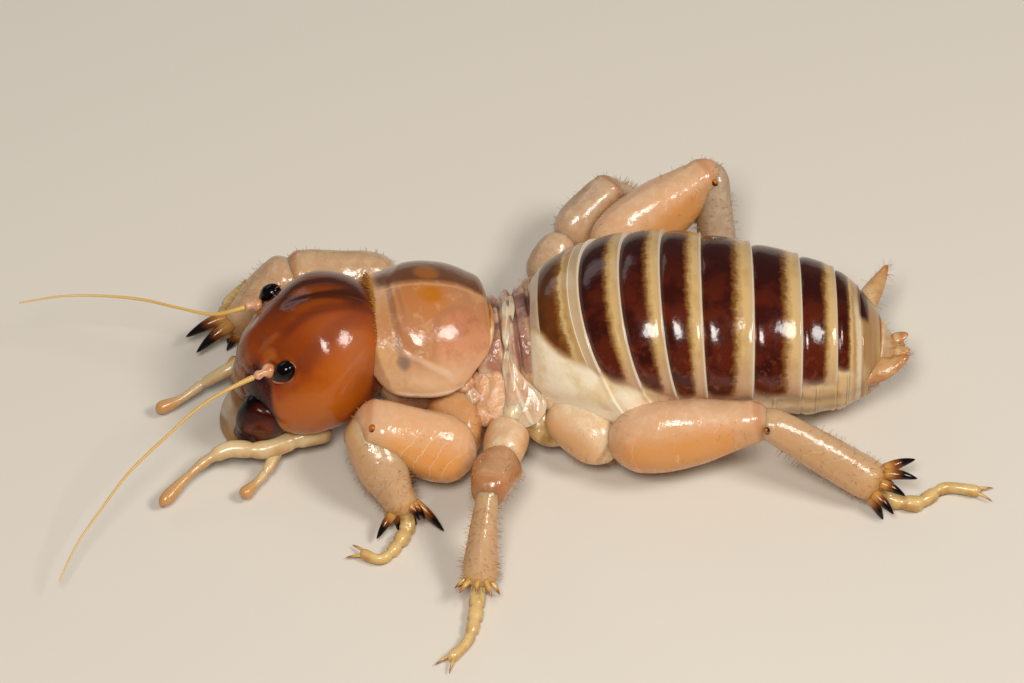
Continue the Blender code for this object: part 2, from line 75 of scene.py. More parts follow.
def soft_light(name, place, size, power, colour):
    """A square lamp that looks at the animal."""
    lamp = bpy.data.lights.new(name, "AREA")
    lamp.shape = "RECTANGLE"
    lamp.size, lamp.size_y = size
    lamp.energy = power
    lamp.color = colour
    holder = new_object(name, lamp)
    holder.location = place
    holder.rotation_euler = (-Vector(place)).to_track_quat("-Z", "Y").to_euler()


soft_light("key", (-0.012, -0.082, 0.139), (0.042, 0.042), 0.155, (1, 0.96, 0.9))
soft_light("fill", (0.088, -0.04, 0.132), (0.046, 0.04), 0.125, (1, 0.97, 0.92))
soft_light("back", (-0.1, 0.14, 0.1), (0.1, 0.06), 0.022, (0.95, 0.98, 1))
sky = bpy.data.worlds.new("sky")
bpy.context.scene.world = sky
sky.use_nodes = True
sky.node_tree.nodes["Background"].inputs["Color"].default_value = (1, 0.98, 0.95, 1)
sky.node_tree.nodes["Background"].inputs["Strength"].default_value = 0.15
bpy.context.scene.view_settings.view_transform = "Standard"

# Head capsule
# One hard polished shell, amber to red brown, held by the soft neck under the saddle. It has faint
# paired stripes on the crown, a pit for each eye and feeler, and a deep red flush above the jaws. Its far
# upper side is darkened with painted shade, and a paler pinkish painted sheen lies on its near rear.

HEAD_CENTRE = np.array((-7.06, -1.4, 3.2))
HEAD_HALF = np.array((2.85, 3.1, 2.6))
HEAD_YAW, HEAD_PITCH, HEAD_ROLL = (math.radians(a) for a in (13, 40, 6))
EYE_AT = np.array((1.93, 0.12, 1.66))
EYE_HALF = np.array((0.35, 0.46, 0.34))
SOCKET_AT = np.array((1.6, 0.55, 2.05))

ahead = np.array((-math.cos(HEAD_YAW), -math.sin(HEAD_YAW), 0))
left = np.array((math.sin(HEAD_YAW), -math.cos(HEAD_YAW), 0))
to_mouth = ahead * math.cos(HEAD_PITCH) - np.array((0, 0, math.sin(HEAD_PITCH)))
to_brow = ahead * math.sin(HEAD_PITCH) + np.array((0, 0, math.cos(HEAD_PITCH)))
HEAD_AXES = np.array((left * math.cos(HEAD_ROLL) + to_brow * math.sin(HEAD_ROLL), to_mouth,
    to_brow * math.cos(HEAD_ROLL) - left * math.sin(HEAD_ROLL)))


def on_head(places):
    """Points given as left, toward the mouth and out of the brow, in the animal's own frame."""
    return HEAD_CENTRE + np.array(places) @ HEAD_AXES


eye_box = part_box("eye_left")
HOME = (np.array(eye_box[0]) + np.array(eye_box[1])) / 2 / MM - on_head(EYE_AT)
# The Mix node's sockets share their names, so its colours go by number.
COLOUR_A, COLOUR_B, MIXED_COLOUR = 6, 7, 2


class Wire:
    """A socket among a material's nodes. Sums and products of wires add Math nodes."""

    def __init__(self, tree, socket=None):
        self.tree = tree
        self.socket = socket

    def add(self, kind, settings, sockets, out=0):
        node = self.tree.nodes.new(kind)
        for key, value in settings.items():
            setattr(node, key, value)
        for key, value in sockets.items():
            if isinstance(value, Wire):
                self.tree.links.new(value.socket, node.inputs[key])
            else:
                node.inputs[key].default_value = value
        return Wire(self.tree, node.outputs[out])

    def maths(self, operation, *values):
        return self.add("ShaderNodeMath", {"operation": operation}, dict(enumerate(values)))

    def __add__(self, other):
        return self.maths("ADD", self, other)

    def __sub__(self, other):
        return self.maths("SUBTRACT", self, other)

    def __rsub__(self, other):
        return self.maths("SUBTRACT", other, self)

    def __mul__(self, other):
        return self.maths("MULTIPLY", self, other)

    def __abs__(self):
        return self.maths("ABSOLUTE", self)

    __radd__ = __add__
    __rmul__ = __mul__

    def rise(self, low, high):
        """Nought below low, one above high, and smooth between them."""
        return self.add("ShaderNodeMapRange", {"interpolation_type": "SMOOTHSTEP"},
            {"Value": self, "From Min": low, "From Max": high})

    def fall(self, low, high):
        """One below low, nought above high, and smooth between them."""
        return 1 - self.rise(low, high)

    def band(self, middle, half, soft):
        """One within half of the middle, fading to nought over soft."""
        return abs(self - middle).fall(half, half + soft)

    def gap(self, middle, reach):
        """Square of how many reaches this is from the middle."""
        far = (self - middle) * (1 / reach)
        return far * far

    def spots(self, scale, detail=3, rough=0.55):
        """Fine noise on the object's own place, with this many grains to a millimetre."""
        where = self.add("ShaderNodeTexCoord", {}, {}, out="Object")
        return self.add("ShaderNodeTexNoise", {},
            {"Vector": where, "Scale": scale / MM, "Detail": detail, "Roughness": rough})

    def streaks(self, count, detail):
        """Noise along this one number, with this many grains to each unit of it."""
        return self.add("ShaderNodeTexNoise", {"noise_dimensions": "1D"},
            {"W": self * count, "Detail": detail})

    def place(self):
        """The three numbers that each piece stores at its vertices."""
        stored = self.add("ShaderNodeAttribute", {"attribute_name": "place"}, {}, out="Vector")
        split = self.add("ShaderNodeSeparateXYZ", {}, {"Vector": stored})
        return [Wire(self.tree, split.socket.node.outputs[k]) for k in range(3)]

    def feed(self, name, value):
        self.tree.links.new(value.socket, self.tree.nodes["Principled BSDF"].inputs[name])

    def colours(self, base, *coats):
        """Colours laid over a base, each with its mask, as the paint's own."""
        base = tint(*base)
        for *colour, mask in coats:
            base = self.add("ShaderNodeMix", {"data_type": "RGBA"},
                {"Factor": mask, COLOUR_A: base, COLOUR_B: tint(*colour)}, MIXED_COLOUR)
        self.feed("Base Color", base)

    def relief(self, height, depth):
        """Bumps this many millimetres deep."""
        self.feed("Normal", self.add("ShaderNodeBump", {},
            {"Strength": 1, "Distance": depth * MM, "Height": height}))


def new_paint(name, **constants):
    """A Principled material with these constant sockets, and the wire that its nodes start from."""
    paint = bpy.data.materials.new(name)
    paint.use_nodes = True
    shader = paint.node_tree.nodes["Principled BSDF"]
    for key, value in constants.items():
        shader.inputs[key.replace("_", " ")].default_value = value
    return paint, Wire(paint.node_tree)


def waxy(weight, reach):
    """Sockets of a skin that light soaks into, with the reach in millimetres."""
    return {"Subsurface_Weight": weight, "Subsurface_Radius": (1, 0.42, 0.22),
        "Subsurface_Scale": reach * MM}


def vertices_of(mesh):
    """The places of a mesh's vertices."""
    return np.array([v.co for v in mesh.vertices])


def new_ball(name, sides, rings):
    """A ball of radius one, and its vertices."""
    bpy.ops.mesh.primitive_uv_sphere_add(segments=sides, ring_count=rings, radius=1)
    piece = bpy.context.object
    piece.name = name
    piece.data.name = name
    return piece, vertices_of(piece.data)


def settle(piece, points, place, paint, node):
    """Moves a piece's vertices to their places, gives it its paint, hangs it from the root and hides the
    solids of its node.
    """
    points = np.maximum(points, (-np.inf, -np.inf, 0))
    piece.data.vertices.foreach_set("co", ((points + HOME) * MM).ravel())
    stored = piece.data.attributes.new("place", "FLOAT_VECTOR", "POINT")
    stored.data.foreach_set("vector", place.astype(float).ravel())
    piece.data.update()
    piece.data.shade_smooth()
    piece.data.materials.append(paint)
    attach(piece, "root")
    for name in node if isinstance(node, (list, tuple)) else [node]:
        if name:
            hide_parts(name)
    return piece


def held(values):
    """The values, kept between nought and one."""
    return np.clip(values, 0, 1)


def hump(distance, reach):
    """A smooth round bump: one in the middle, nought at its reach."""
    near = held(1 - (distance / reach) ** 2)
    return near ** 2


def away(points, centre):
    """How far each point is from the centre."""
    return np.linalg.norm(points - np.array(centre), axis=1)


def one_long(ways):
    """The same way or ways, each of length one."""
    return ways / np.linalg.norm(ways, axis=-1, keepdims=True)


head_paint, wire = new_paint("head_shell_paint", Specular_IOR_Level=0.38, **waxy(0.06, 0.3))
l, m, n = wire.place()
side = abs(l)
cloud = wire.spots(0.8)
grain = wire.spots(6)
rough = wire.spots(3.2, detail=4, rough=0.7)
wander = (cloud - 0.5) * 0.35
crown_line = (l + wander * 0.3).band(0.05, 0.02, 0.1) * m.fall(-1.4, -0.7)
inner_stripe = (side - (m * 0.255 + 1.2) + wander).band(0, 0.04, 0.26) * m.fall(-1, -0.2)
outer_stripe = (side + m * m * 0.16 - 2.2 + wander).band(0, 0.05, 0.34) * m.fall(-0.7, 0.1)
lobe = (side.gap(0.42, 0.26) + m.gap(-2, 0.75)).fall(0.3, 1.6)
second_lobe = (side.gap(1.25, 0.26) + m.gap(-1.8, 0.8)).fall(0.2, 1.6)
crown = n.rise(0.3, 1.9) * side.fall(1.7, 2.5)
# Painted shade: the far, upper side of the shell is darkened, most toward the neck.
far_side_shade = (0 - l + wander).rise(-0.9, 0.1) * n.rise(-0.2, 0.8) * (1 - m.rise(-1.4, 0.2) * 0.75)
face = m.rise(0.7, 1.8) * n.rise(0.2, 1.2) * side.fall(0.9, 1.6)
ridge = (side - 0.87 - wander * 0.2).band(0, 0.03, 0.14) * m.band(0.15, 0.35, 0.4) * n.rise(1.6, 2.1)
glow = (side.gap(1.3, 0.3) + m.gap(0.4, 0.4)).fall(0.2, 1.5) * n.rise(1, 1.8)
jaw_side = (m + wander * 0.4 - side.rise(1.9, 2.3) * 0.5).rise(0.75, 1.15)
jaw_side = jaw_side * side.rise(0.75, 1.25) * n.rise(0.5, 1.1)
flush = (jaw_side * (0.65 + rough * 0.7)
    + face * (m + side * 0.4).rise(0.7, 1.6) * rough.rise(0.42, 0.6) * 0.7)
# Painted sheen: a paler pinkish mottled patch on the near rear of the shell.
rear_sheen = (0 - m).rise(0.9, 2.4) * l.rise(0.4, 1.6)
cheek = side.rise(1.5, 2.7) * n.fall(0.5, 1.6)
wire.colours((164, 78, 18), (142, 60, 14, cloud.rise(0.4, 0.66)), (180, 94, 26, cheek * 0.7),
    (130, 54, 16, crown * 0.7), (184, 112, 70, rear_sheen * (0.2 + cloud.rise(0.4, 0.6) * 0.3)),
    (54, 24, 10, far_side_shade * 0.9), (150, 70, 12, lobe * 0.6 + second_lobe * 0.4),
    (70, 32, 28, crown_line * 0.35), (72, 32, 30, inner_stripe * 0.45), (104, 50, 40, outer_stripe * 0.4),
    (152, 92, 58, face * 0.6), (164, 92, 50, ridge * 0.45), (188, 104, 34, glow * 0.45),
    (60, 5, 2, flush), (150, 102, 74, m.rise(2, 2.5) * n.rise(0.1, 0.7) * side.fall(1, 1.5) * 0.7),
    (16, 6, 7, (m - n * 0.08).rise(1.35, 1.6) * side.rise(1.25, 1.6) * n.rise(0.1, 0.6) * 0.92))
wire.feed("Roughness", 0.09 + grain * 0.1)
wire.relief(grain * 0.25 + wire.spots(1.8) * 0.5 + (face * 0.5 + glow + jaw_side) * rough * 1.2, 0.026)

piece, unit = new_ball("head_shell", 180, 128)
# The ball's poles lie on the line from the neck to the mouth.
unit = unit[:, [0, 2, 1]] * np.array((1, 1, -1))
narrow = 1 - 0.06 * unit[:, 1] - 0.05 * held(unit[:, 1]) ** 2
place = unit * HEAD_HALF * np.stack((narrow, np.ones(len(unit)), narrow), axis=1)
mirror = place * np.array((0, 1, 1)) + np.abs(place) * np.array((1, 0, 0))
eye_gap = away(mirror, EYE_AT + (0, 0, 0.15))
pit_gap = away(mirror, SOCKET_AT)
# The brow is pressed in between the eyes, and low walls stand round the eyes and the pits. The
# cheeks, the seams of the face and the crown line follow, and the nape is drawn in.
swell = (-0.33 * hump(away(mirror, (1.85, 0.35, 1.95)), 2.2)
    - 0.15 * hump(away(mirror, (0.5, 2.5, 1.3)), 1.6)
    + 0.05 * hump(eye_gap - 0.46, 0.16) - 0.12 * hump(eye_gap, 0.36)
    + 0.07 * hump(pit_gap - 0.36, 0.18) - 0.2 * hump(pit_gap, 0.32)
    - 0.05 * hump(away(mirror, (0.6, 0.5, 2.5)), 0.6)
    + 0.05 * hump(mirror[:, 0] - 0.87, 0.16) * hump(place[:, 1] - 0.1, 1)
    - 0.07 * hump(place[:, 1] - 1.95 + 0.35 * mirror[:, 0], 0.2) * (mirror[:, 0] < 1.3)
    - 0.03 * hump(mirror[:, 0], 0.1) * (place[:, 1] < -0.9) * (place[:, 2] > 0)
    + 0.08 * hump(away(mirror, (2.2, 1.3, -0.6)), 1.2)
    - 0.38 * hump(away(mirror, (2.2, -1.7, -1.1)), 1.9)) * (place[:, 1] < 2.95)
points = on_head(place + unit * swell[:, None])
settle(piece, points, place, head_paint, "head")

# Eyes
# Black glossy almonds of many tiny lenses, each set in its pit beside the brow. A thin pale rim of
# soft skin joins each eye to the shell.

eye_paint, wire = new_paint("eye_paint", Specular_IOR_Level=0.26)
LENSES_PER_MM = 24
lenses = wire.add("ShaderNodeTexVoronoi", {"feature": "DISTANCE_TO_EDGE"},
    {"Vector": wire.add("ShaderNodeTexCoord", {}, {}, out="Object"), "Scale": LENSES_PER_MM / MM})
wire.colours((6, 4, 5), (14, 9, 9, lenses.rise(0, 0.12)))
wire.feed("Roughness", 0.07 + lenses * 0.06)
rim_paint, wire = new_paint("eye_rim_paint", Roughness=0.3, **waxy(0.4, 0.2))
wire.colours((176, 120, 92), (112, 52, 28, wire.spots(4).rise(0.4, 0.6)))
RIM_HALF, RIM_OUT, RIM_THICK = (0.35, 0.47, 0.3), 0.07, 0.075
for sign, label in ((1, "left"), (-1, "right")):
    mirror_way = np.array((sign, 1, 1))
    piece, unit = new_ball("eye_ball_" + label, 48, 32)
    # The end toward the feeler is pointed.
    pointed = 1 - 0.45 * held(unit[:, 1]) ** 1.5
    shape = unit * EYE_HALF * np.stack((pointed, 1 + 0.15 * held(unit[:, 1]), pointed), axis=1)
    shape = shape + np.array((0, -0.05, 0.08))
    settle(piece, on_head(shape * mirror_way + EYE_AT * mirror_way), unit, eye_paint,
        "eye_" + label)
    bpy.ops.mesh.primitive_torus_add(major_segments=56, minor_segments=10, major_radius=1,
        minor_radius=RIM_THICK)
    piece = bpy.context.object
    piece.name = "eye_rim_" + label
    ring = vertices_of(piece.data)
    out = one_long(EYE_AT / HEAD_HALF ** 2)
    across = one_long(np.cross((0, 1, 0), out))
    along = np.cross(out, across)
    forward = held(ring[:, 1])
    narrow = 1 - 0.35 * forward ** 1.5
    spread = np.stack((ring[:, 0] * RIM_HALF[0] * narrow,
        ring[:, 1] * RIM_HALF[1] * (1 + 0.14 * forward) - 0.05, ring[:, 2] * RIM_HALF[2]), axis=1)
    rim = spread @ np.array((across, along, out)) + EYE_AT + out * RIM_OUT
    settle(piece, on_head(rim * mirror_way), ring, rim_paint, None)

# Face plate, lip and jaws
# The face plate is a brown shelf under the brow, the lip that hangs from it a pale flap with an
# amber tip, and the jaws are dark maroon wedges with a black polished shoulder.


def eased(keys, shares):
    """Smooth values through keyed ones, at each share."""
    keys = np.array(keys, dtype=float)
    where, values = keys[:, 0], keys[:, 1:]
    if len(where) > 2:
        slopes = np.gradient(values, where, axis=0)
    else:
        slopes = np.repeat((values[1:] - values[:1]) / (where[1] - where[0]), 2, axis=0)
    shares = np.clip(shares, where[0], where[-1])
    k = np.clip(np.searchsorted(where, shares, side="right") - 1, 0, len(where) - 2)
    span = where[k + 1] - where[k]
    t = ((shares - where[k]) / span)[:, None]
    span = span[:, None]
    return ((2 * t ** 3 - 3 * t ** 2 + 1) * values[k] + (t ** 3 - 2 * t ** 2 + t) * span * slopes[k]
        + (3 * t ** 2 - 2 * t ** 3) * values[k + 1] + (t ** 3 - t ** 2) * span * slopes[k + 1])


def curve_through(knots, shares):
    """Points of a smooth curve through the knots, at shares of its length."""
    knots = np.array(knots, dtype=float)
    run = np.concatenate(([0], np.cumsum(np.linalg.norm(np.diff(knots, axis=0), axis=1))))
    return eased(np.column_stack((run / run[-1], knots)), np.asarray(shares, dtype=float))


def rows_and_turns(unit, rings):
    """Each vertex's row, counted from pole to pole, and its turn about the poles."""
    level = np.rint(np.arccos(np.clip(unit[:, 2], -1, 1)) / math.pi * rings).astype(int)
    return level, np.arctan2(unit[:, 1], unit[:, 0])


def graded(size, *rows):
    """Rows of girth from one half width and half depth: share of length, then how much of them."""
    return [(row[0], row[1] * size[0], row[-1] * size[1]) for row in rows]


def draw_out(name, spine, girth, paint, node, sides, rings, up=(0, 0, 1), blunt=0.14,
        relief=None, shares=None):
    """A ball drawn out along a curve, its poles at the two ends.

    Girth lists share of length, half width and half depth, or one number for both. Each end closes
    over the share that blunt gives. Relief gives millimetres outward from the share of length and
    the turn about the spine, which is a quarter turn at the top.
    """
    piece, unit = new_ball(name, sides, rings)
    level, turn = rows_and_turns(unit, rings)
    if shares is None:
        shares = 0.5 - 0.5 * np.cos(math.pi * np.arange(rings + 1) / rings)
    path = curve_through(spine, shares)
    forward = one_long(np.gradient(path, axis=0))
    across = one_long(np.cross(forward, np.array(up, dtype=float)))
    above = np.cross(across, forward)
    edge = np.minimum(shares, 1 - shares) / blunt
    closing = np.where(edge < 1, np.sqrt(held(1 - (1 - edge) ** 2)), 1)
    size = eased([(row[0], row[1], row[-1]) for row in girth], shares) * closing[:, None]
    s = shares[level]
    extra = relief(s, turn) if relief else 0
    extra = extra * np.where(size[level, 0] > 0, 1, 0)
    wide = (size[level, 0] + extra) * np.cos(turn)
    deep = (size[level, 1] + extra) * np.sin(turn)
    points = path[level] + across[level] * wide[:, None] + above[level] * deep[:, None]
    place = np.stack((s, np.cos(turn), np.sin(turn)), axis=1)
    return settle(piece, points, place, paint, node)


plate_paint, wire = new_paint("face_plate_paint", Roughness=0.24, **waxy(0.3, 0.3))
wire.colours((150, 104, 72), (112, 62, 36, wire.spots(1.4).rise(0.42, 0.62)),
    (78, 34, 30, wire.spots(2.4).rise(0.6, 0.72) * 0.7))
wire.relief(wire.spots(5), 0.02)
draw_out("face_plate", on_head([(0, 1.95, 1.3), (0, 2.5, 0.85), (0.1, 2.95, 0.5)]),
    [(0, 1.1, 0.35), (0.5, 1.02, 0.38), (1, 0.85, 0.28)], plate_paint, "clypeus", sides=36,
    rings=30, up=HEAD_AXES[2], blunt=0.3)

lip_paint, wire = new_paint("lip_paint", Roughness=0.28, **waxy(0.6, 0.5))
s, c, _ = wire.place()
wire.colours((168, 138, 104), (138, 98, 56, wire.spots(0.9).rise(0.4, 0.62)),
    (170, 116, 46, s.rise(0.55, 0.85) * 0.85),
    (204, 188, 170, s.band(0.38, 0.12, 0.1) * c.rise(-0.5, 0.3) * 0.8))
wire.relief(wire.spots(2), 0.04)
draw_out("lip", on_head([(0.3, 2.8, 0.6), (0.44, 3.6, 0.28), (0.66, 4.1, -0.05), (0.85, 4.4, -0.34)]),
    [(0, 0.85, 0.22), (0.45, 0.92, 0.24), (0.8, 0.66, 0.18), (1, 0.34, 0.12)], lip_paint, "labrum",
    sides=32, rings=28, up=HEAD_AXES[2], blunt=0.3)

jaw_paint, wire = new_paint("jaw_paint", Specular_IOR_Level=0.22)
s, _, t = wire.place()
grime = wire.spots(2)
ruddy = (s.gap(0.42, 0.25) + t.gap(0.1, 0.5)).fall(0.4, 1.6)
wire.colours((58, 16, 6), (112, 38, 8, ruddy * 0.7), (38, 14, 10, grime.rise(0.5, 0.65) * 0.5),
    (12, 5, 6, t.rise(0.8, 0.97)), (40, 22, 16, s.rise(0.6, 0.95) * 0.8))
wire.feed("Roughness", 0.14 + grime * 0.12)
wire.relief(wire.spots(1) * 0.8 + grime * 0.3, 0.05)
# Each jaw lists the knots of its middle line on the head, and its size.
JAWS = {
    "left": ([(1.55, 1.45, 0.62), (1.5, 2.3, 0.28), (1.32, 3.1, -0.08), (0.98, 4.05, -0.26)], 1),
    "right": ([(-1.2, 1.35, 0.35), (-1, 2.2, 0), (-0.8, 3, -0.4), (-0.4, 3.8, -0.5)], 0.8)}
for label, (run, size) in JAWS.items():
    draw_out("jaw_" + label, on_head(run),
        graded((size, size), (0, 0.72, 0.86), (0.35, 0.68, 0.96), (0.7, 0.44, 0.62), (1, 0.14, 0.2)),
        jaw_paint, "mandible_" + label, sides=40, rings=44, up=HEAD_AXES[2],
        relief=lambda s, a: 0.05 * np.sin(3 * a + 4 * s) * s - 0.1 * hump(np.sin(a) - 0.1, 0.6) * s)

# Palps and lower lip
# Two long and two short pale straw palps, hung from under the jaws on either side of the lower lip,
# pinched where their joints meet and swollen at the soft rounded tip.

palp_paint, wire = new_paint("palp_paint", Roughness=0.2, **waxy(0.55, 0.45))
s, _, t = wire.place()
core = wire.spots(0.8)
wire.colours((206, 178, 134), (184, 144, 92, core.rise(0.4, 0.62)),
    (226, 208, 164, t.rise(0.3, 0.9) * 0.4), (188, 132, 70, s.rise(0.62, 0.96) * 0.8))
wire.relief(core * 0.6 + wire.spots(4) * 0.3, 0.03)
draw_out("lower_lip", on_head([(0, 1.2, -1.9), (0, 2.1, -1.6), (0, 2.8, -1.25)]),
    [(0, 1.2, 0.55), (0.6, 1.15, 0.48), (1, 0.75, 0.33)], palp_paint, "labium", sides=32, rings=24,
    up=HEAD_AXES[2], blunt=0.25, relief=lambda s, a: -0.12 * hump(np.cos(a), 0.25) * s)
# Each palp lists the knots of its middle line, how stout its root is, and where its joints lie.
PALPS = {
    "maxillary_palp_left": ([(-6.35, -3.2, 1.12), (-7.61, -3.55, 1.1), (-8.77, -3.96, 1),
        (-10.03, -4.04, 1.1), (-10.55, -4.28, 1), (-11.35, -4.86, 0.7), (-12.33, -5.97, 0.42)],
        1.4, (0.2, 0.42, 0.64)),
    "maxillary_palp_right": ([(-8.6, 0.35, 1.35), (-9.5, -0.25, 1.5), (-10.16, -0.67, 1.4),
        (-10.95, -0.9, 1), (-11.84, -1.4, 0.65), (-12.66, -1.66, 0.42)], 1, (0.25, 0.6)),
    "labial_palp_left": ([(-8.3, -2.75, 0.95), (-8.3, -3.7, 0.8), (-8.62, -4.6, 0.65),
        (-9.48, -5.6, 0.42)], 1, (0.3, 0.62)),
    "labial_palp_right": ([(-8.65, -1.3, 0.95), (-9, -0.6, 0.8), (-9.5, 0.1, 0.6),
        (-10.1, 0.6, 0.42)], 1, (0.3, 0.62))}
for node, (run, stout, joints) in PALPS.items():
    draw_out(node + "_skin", run, [(0, 0.27 * stout), (0.3, 0.25 * stout), (0.58, 0.2 * stout),
        (0.78, 0.15), (0.93, 0.24), (1, 0.25)], palp_paint, node, sides=24, rings=60,
        blunt=0.06, relief=lambda s, a: -0.07 * sum(hump(s - j, 0.035) for j in joints))

# Feelers
# A pinkish root joint turns in each pit, narrow behind and bead-like ahead, and carries a long
# golden whip of short rings.

scape_paint, wire = new_paint("feeler_root_paint", Roughness=0.2, **waxy(0.4, 0.2))
wire.colours((214, 166, 130), (192, 126, 80, wire.spots(2.6).rise(0.42, 0.62)))
wire.relief(wire.spots(4), 0.02)
RING_COUNT = 110
WHIP_ROWS = 4 * RING_COUNT
whip_paint, wire = new_paint("feeler_paint", Roughness=0.22, **waxy(0.3, 0.15))
s = wire.place()[0]
beads = wire.maths("FRACT", s * RING_COUNT)
wire.colours((216, 176, 98), (184, 132, 58, beads.band(0.5, 0.15, 0.25) * 0.35),
    (214, 182, 124, s.rise(0.4, 1) * 0.6))
WHIPS = {
    "left": [(-8.62, -3.42, 4.62), (-9.28, -3.71, 4.5), (-10.71, -4.33, 4), (-12.03, -5.24, 3.3),
        (-13.37, -6.37, 2.6), (-14.22, -7.36, 2), (-15.09, -8.64, 1.5), (-15.65, -9.82, 1)],
    "right": [(-9.15, -0.1, 4.33), (-9.62, -0.22, 4.25), (-10.39, -0.23, 4), (-11.76, 0.22, 3.8),
        (-12.98, 0.67, 3.7), (-14.52, 0.95, 3.6), (-15.88, 1.03, 3.5), (-17.5, 0.96, 3.2)]}
for sign, label in ((1, "left"), (-1, "right")):
    run = np.array(WHIPS[label])
    root = on_head((SOCKET_AT - (0, 0.1, 0.2)) * (sign, 1, 1))
    draw_out("feeler_root_" + label, [root, run[0], run[0] * 0.45 + run[1] * 0.55],
        [(0, 0.2), (0.33, 0.26, 0.25), (0.6, 0.13), (0.78, 0.17), (1, 0.12)], scape_paint,
        "scape_" + label, sides=24, rings=40, blunt=0.2)
    draw_out("whip_" + label, [run[0] * 0.5 + run[1] * 0.5, *run[1:]],
        [(0, 0.11), (0.06, 0.085), (0.14, 0.066), (0.5, 0.052), (1, 0.03)], whip_paint, "feeler_" + label,
        sides=10, rings=WHIP_ROWS, blunt=0.01, shares=np.linspace(0, 1, WHIP_ROWS + 1),
        relief=lambda s, a: 0.004 * np.sin(s * RING_COUNT * 2 * math.pi))

# Pronotum
# A saddle of hard glassy skin over the first ring of the thorax, with a clear amber rim all round, a
# raised rosy field at the rear and two orange spots beside the crown line. Its far side is darker with
# painted shade, and a painted highlight runs along its lower rim.

# The body ahead of the waist turns a little to its left.
FRONT_TURN, FRONT_PIVOT = 0.15, 1
# The saddle's ends along the body, and the heights of its lower edge and its middle.
SADDLE_FRONT, SADDLE_REAR, SADDLE_EDGE, SADDLE_MIDDLE = -5.14, -0.74, 3.18, 3


def middle_y(x):
    """Sideways place of the body's middle line ahead of the waist."""
    return -FRONT_TURN * (FRONT_PIVOT - x)


shield_paint, wire = new_paint("shield_paint", Specular_IOR_Level=0.3, Coat_Weight=0.5,
    Coat_Roughness=0.03, Coat_IOR=1.4, **waxy(0.3, 0.6))
s, c, t = wire.place()
cloud = wire.spots(0.7)
fine = wire.spots(3.5)
veins = wire.spots(1.6, detail=5, rough=0.7)
wander = (cloud - 0.5) * 0.1 + (fine - 0.5) * 0.02
crown_at = s * 0.14 - 0.18 + s.rise(0.75, 1) * 0.08
off_crown = c - crown_at
# Painted shade: the saddle is darkened beyond the crown line on the far side.
far_side_shade = (0 - off_crown + wander * 0.4).rise(0, 0.12) * s.rise(0.05, 0.14)
hoop_at = s - c * 0.05 + wander * 0.3
dome = hoop_at.rise(0.155, 0.205) * abs(c).fall(0.88, 0.96) * s.fall(0.93, 0.96)
hoop = hoop_at.band(0.185, 0.008, 0.03) * abs(c).fall(0.3, 0.7)
inner_hoop = hoop_at.band(0.255, 0.004, 0.02) * abs(c).fall(0.2, 0.55)
disc_far = s.gap(0.73, 0.25) + c.gap(0.72, 0.46) + wander * 6
disc = disc_far.fall(0.55, 1.25) * s.fall(0.93, 0.96)
disc_edge = disc_far.band(1, 0.02, 0.3) * s.fall(0.7, 0.9) * c.fall(0.5, 0.75)
spots = (s.gap(0.5, 0.095) + abs(off_crown + 0.03).gap(0.2, 0.14) + wander * 4).fall(0.2, 1.6)
orange_field = (s.gap(0.45, 0.22) + off_crown.gap(0.2, 0.35)).fall(0.2, 1.5) * dome
carina = (c - s * 0.56 - 0.605 + wander * 0.3).band(0, 0.006, 0.04) * s.band(0.44, 0.15, 0.1)
smudge = (s.gap(0.225, 0.062) + c.gap(0.82, 0.065) + wander * 6).fall(0.1, 1.5)
shadow = (s.gap(0.2, 0.03) + c.gap(0.66, 0.12)).fall(0.1, 1.5)
skirt = c.rise(0.72, 1) * t.rise(-0.2, 0)
# Painted highlight: a pale line along the lower rim; the pale carina shares its colour.
lower_rim_highlight = t.band(0.06, 0.05, 0.05) * abs(c).rise(0.5, 0.8) * s.rise(0.06, 0.12)
wire.colours((198, 148, 102), (182, 124, 80, cloud.rise(0.42, 0.64) * 0.7), (180, 122, 82, dome * 0.85),
    (186, 112, 54, orange_field * 0.6), (190, 124, 88, disc * 0.8),
    (216, 156, 116, disc * c.rise(0.35, 0.95) * 0.75),
    (164, 94, 70, disc * veins.rise(0.42, 0.62) * (1 - c.rise(0.6, 1) * 0.7) * 0.55),
    (222, 178, 132, (1 - disc) * veins.rise(0.5, 0.66) * 0.3), (184, 108, 24, spots * 0.9),
    (94, 54, 32, far_side_shade * (0.88 - spots * 0.5)),
    (122, 80, 64, hoop * 0.45 + inner_hoop * 0.25 + disc_edge * 0.2),
    (228, 186, 144, skirt * (0.45 + cloud.rise(0.42, 0.6) * 0.3)),
    (122, 104, 90, smudge * 0.8 + shadow * 0.4), (208, 156, 102, off_crown.band(0, 0.004, 0.03) * 0.6),
    (236, 208, 180, carina * 0.35 + lower_rim_highlight * 0.8),
    (214, 148, 70, s.fall(0.012, 0.03) * 0.9 + t.band(-0.02, 0.02, 0.03) * c.rise(0.5, 0.8) * 0.6),
    (168, 112, 72, s.rise(0.95, 0.975) * 0.5), (220, 160, 92, s.band(0.95, 0.006, 0.014) * 0.6))
wire.feed("Roughness", 0.14 + fine * 0.12)
wire.relief(fine * 0.35 + cloud * 1.2 + veins * 0.5 - hoop * 0.4 + carina * 0.4 + skirt * cloud, 0.05)

shield_shares = np.concatenate((np.linspace(0, 0.08, 15)[:-1], np.linspace(0.08, 0.92, 60),
    np.linspace(0.92, 1, 15)[1:]))


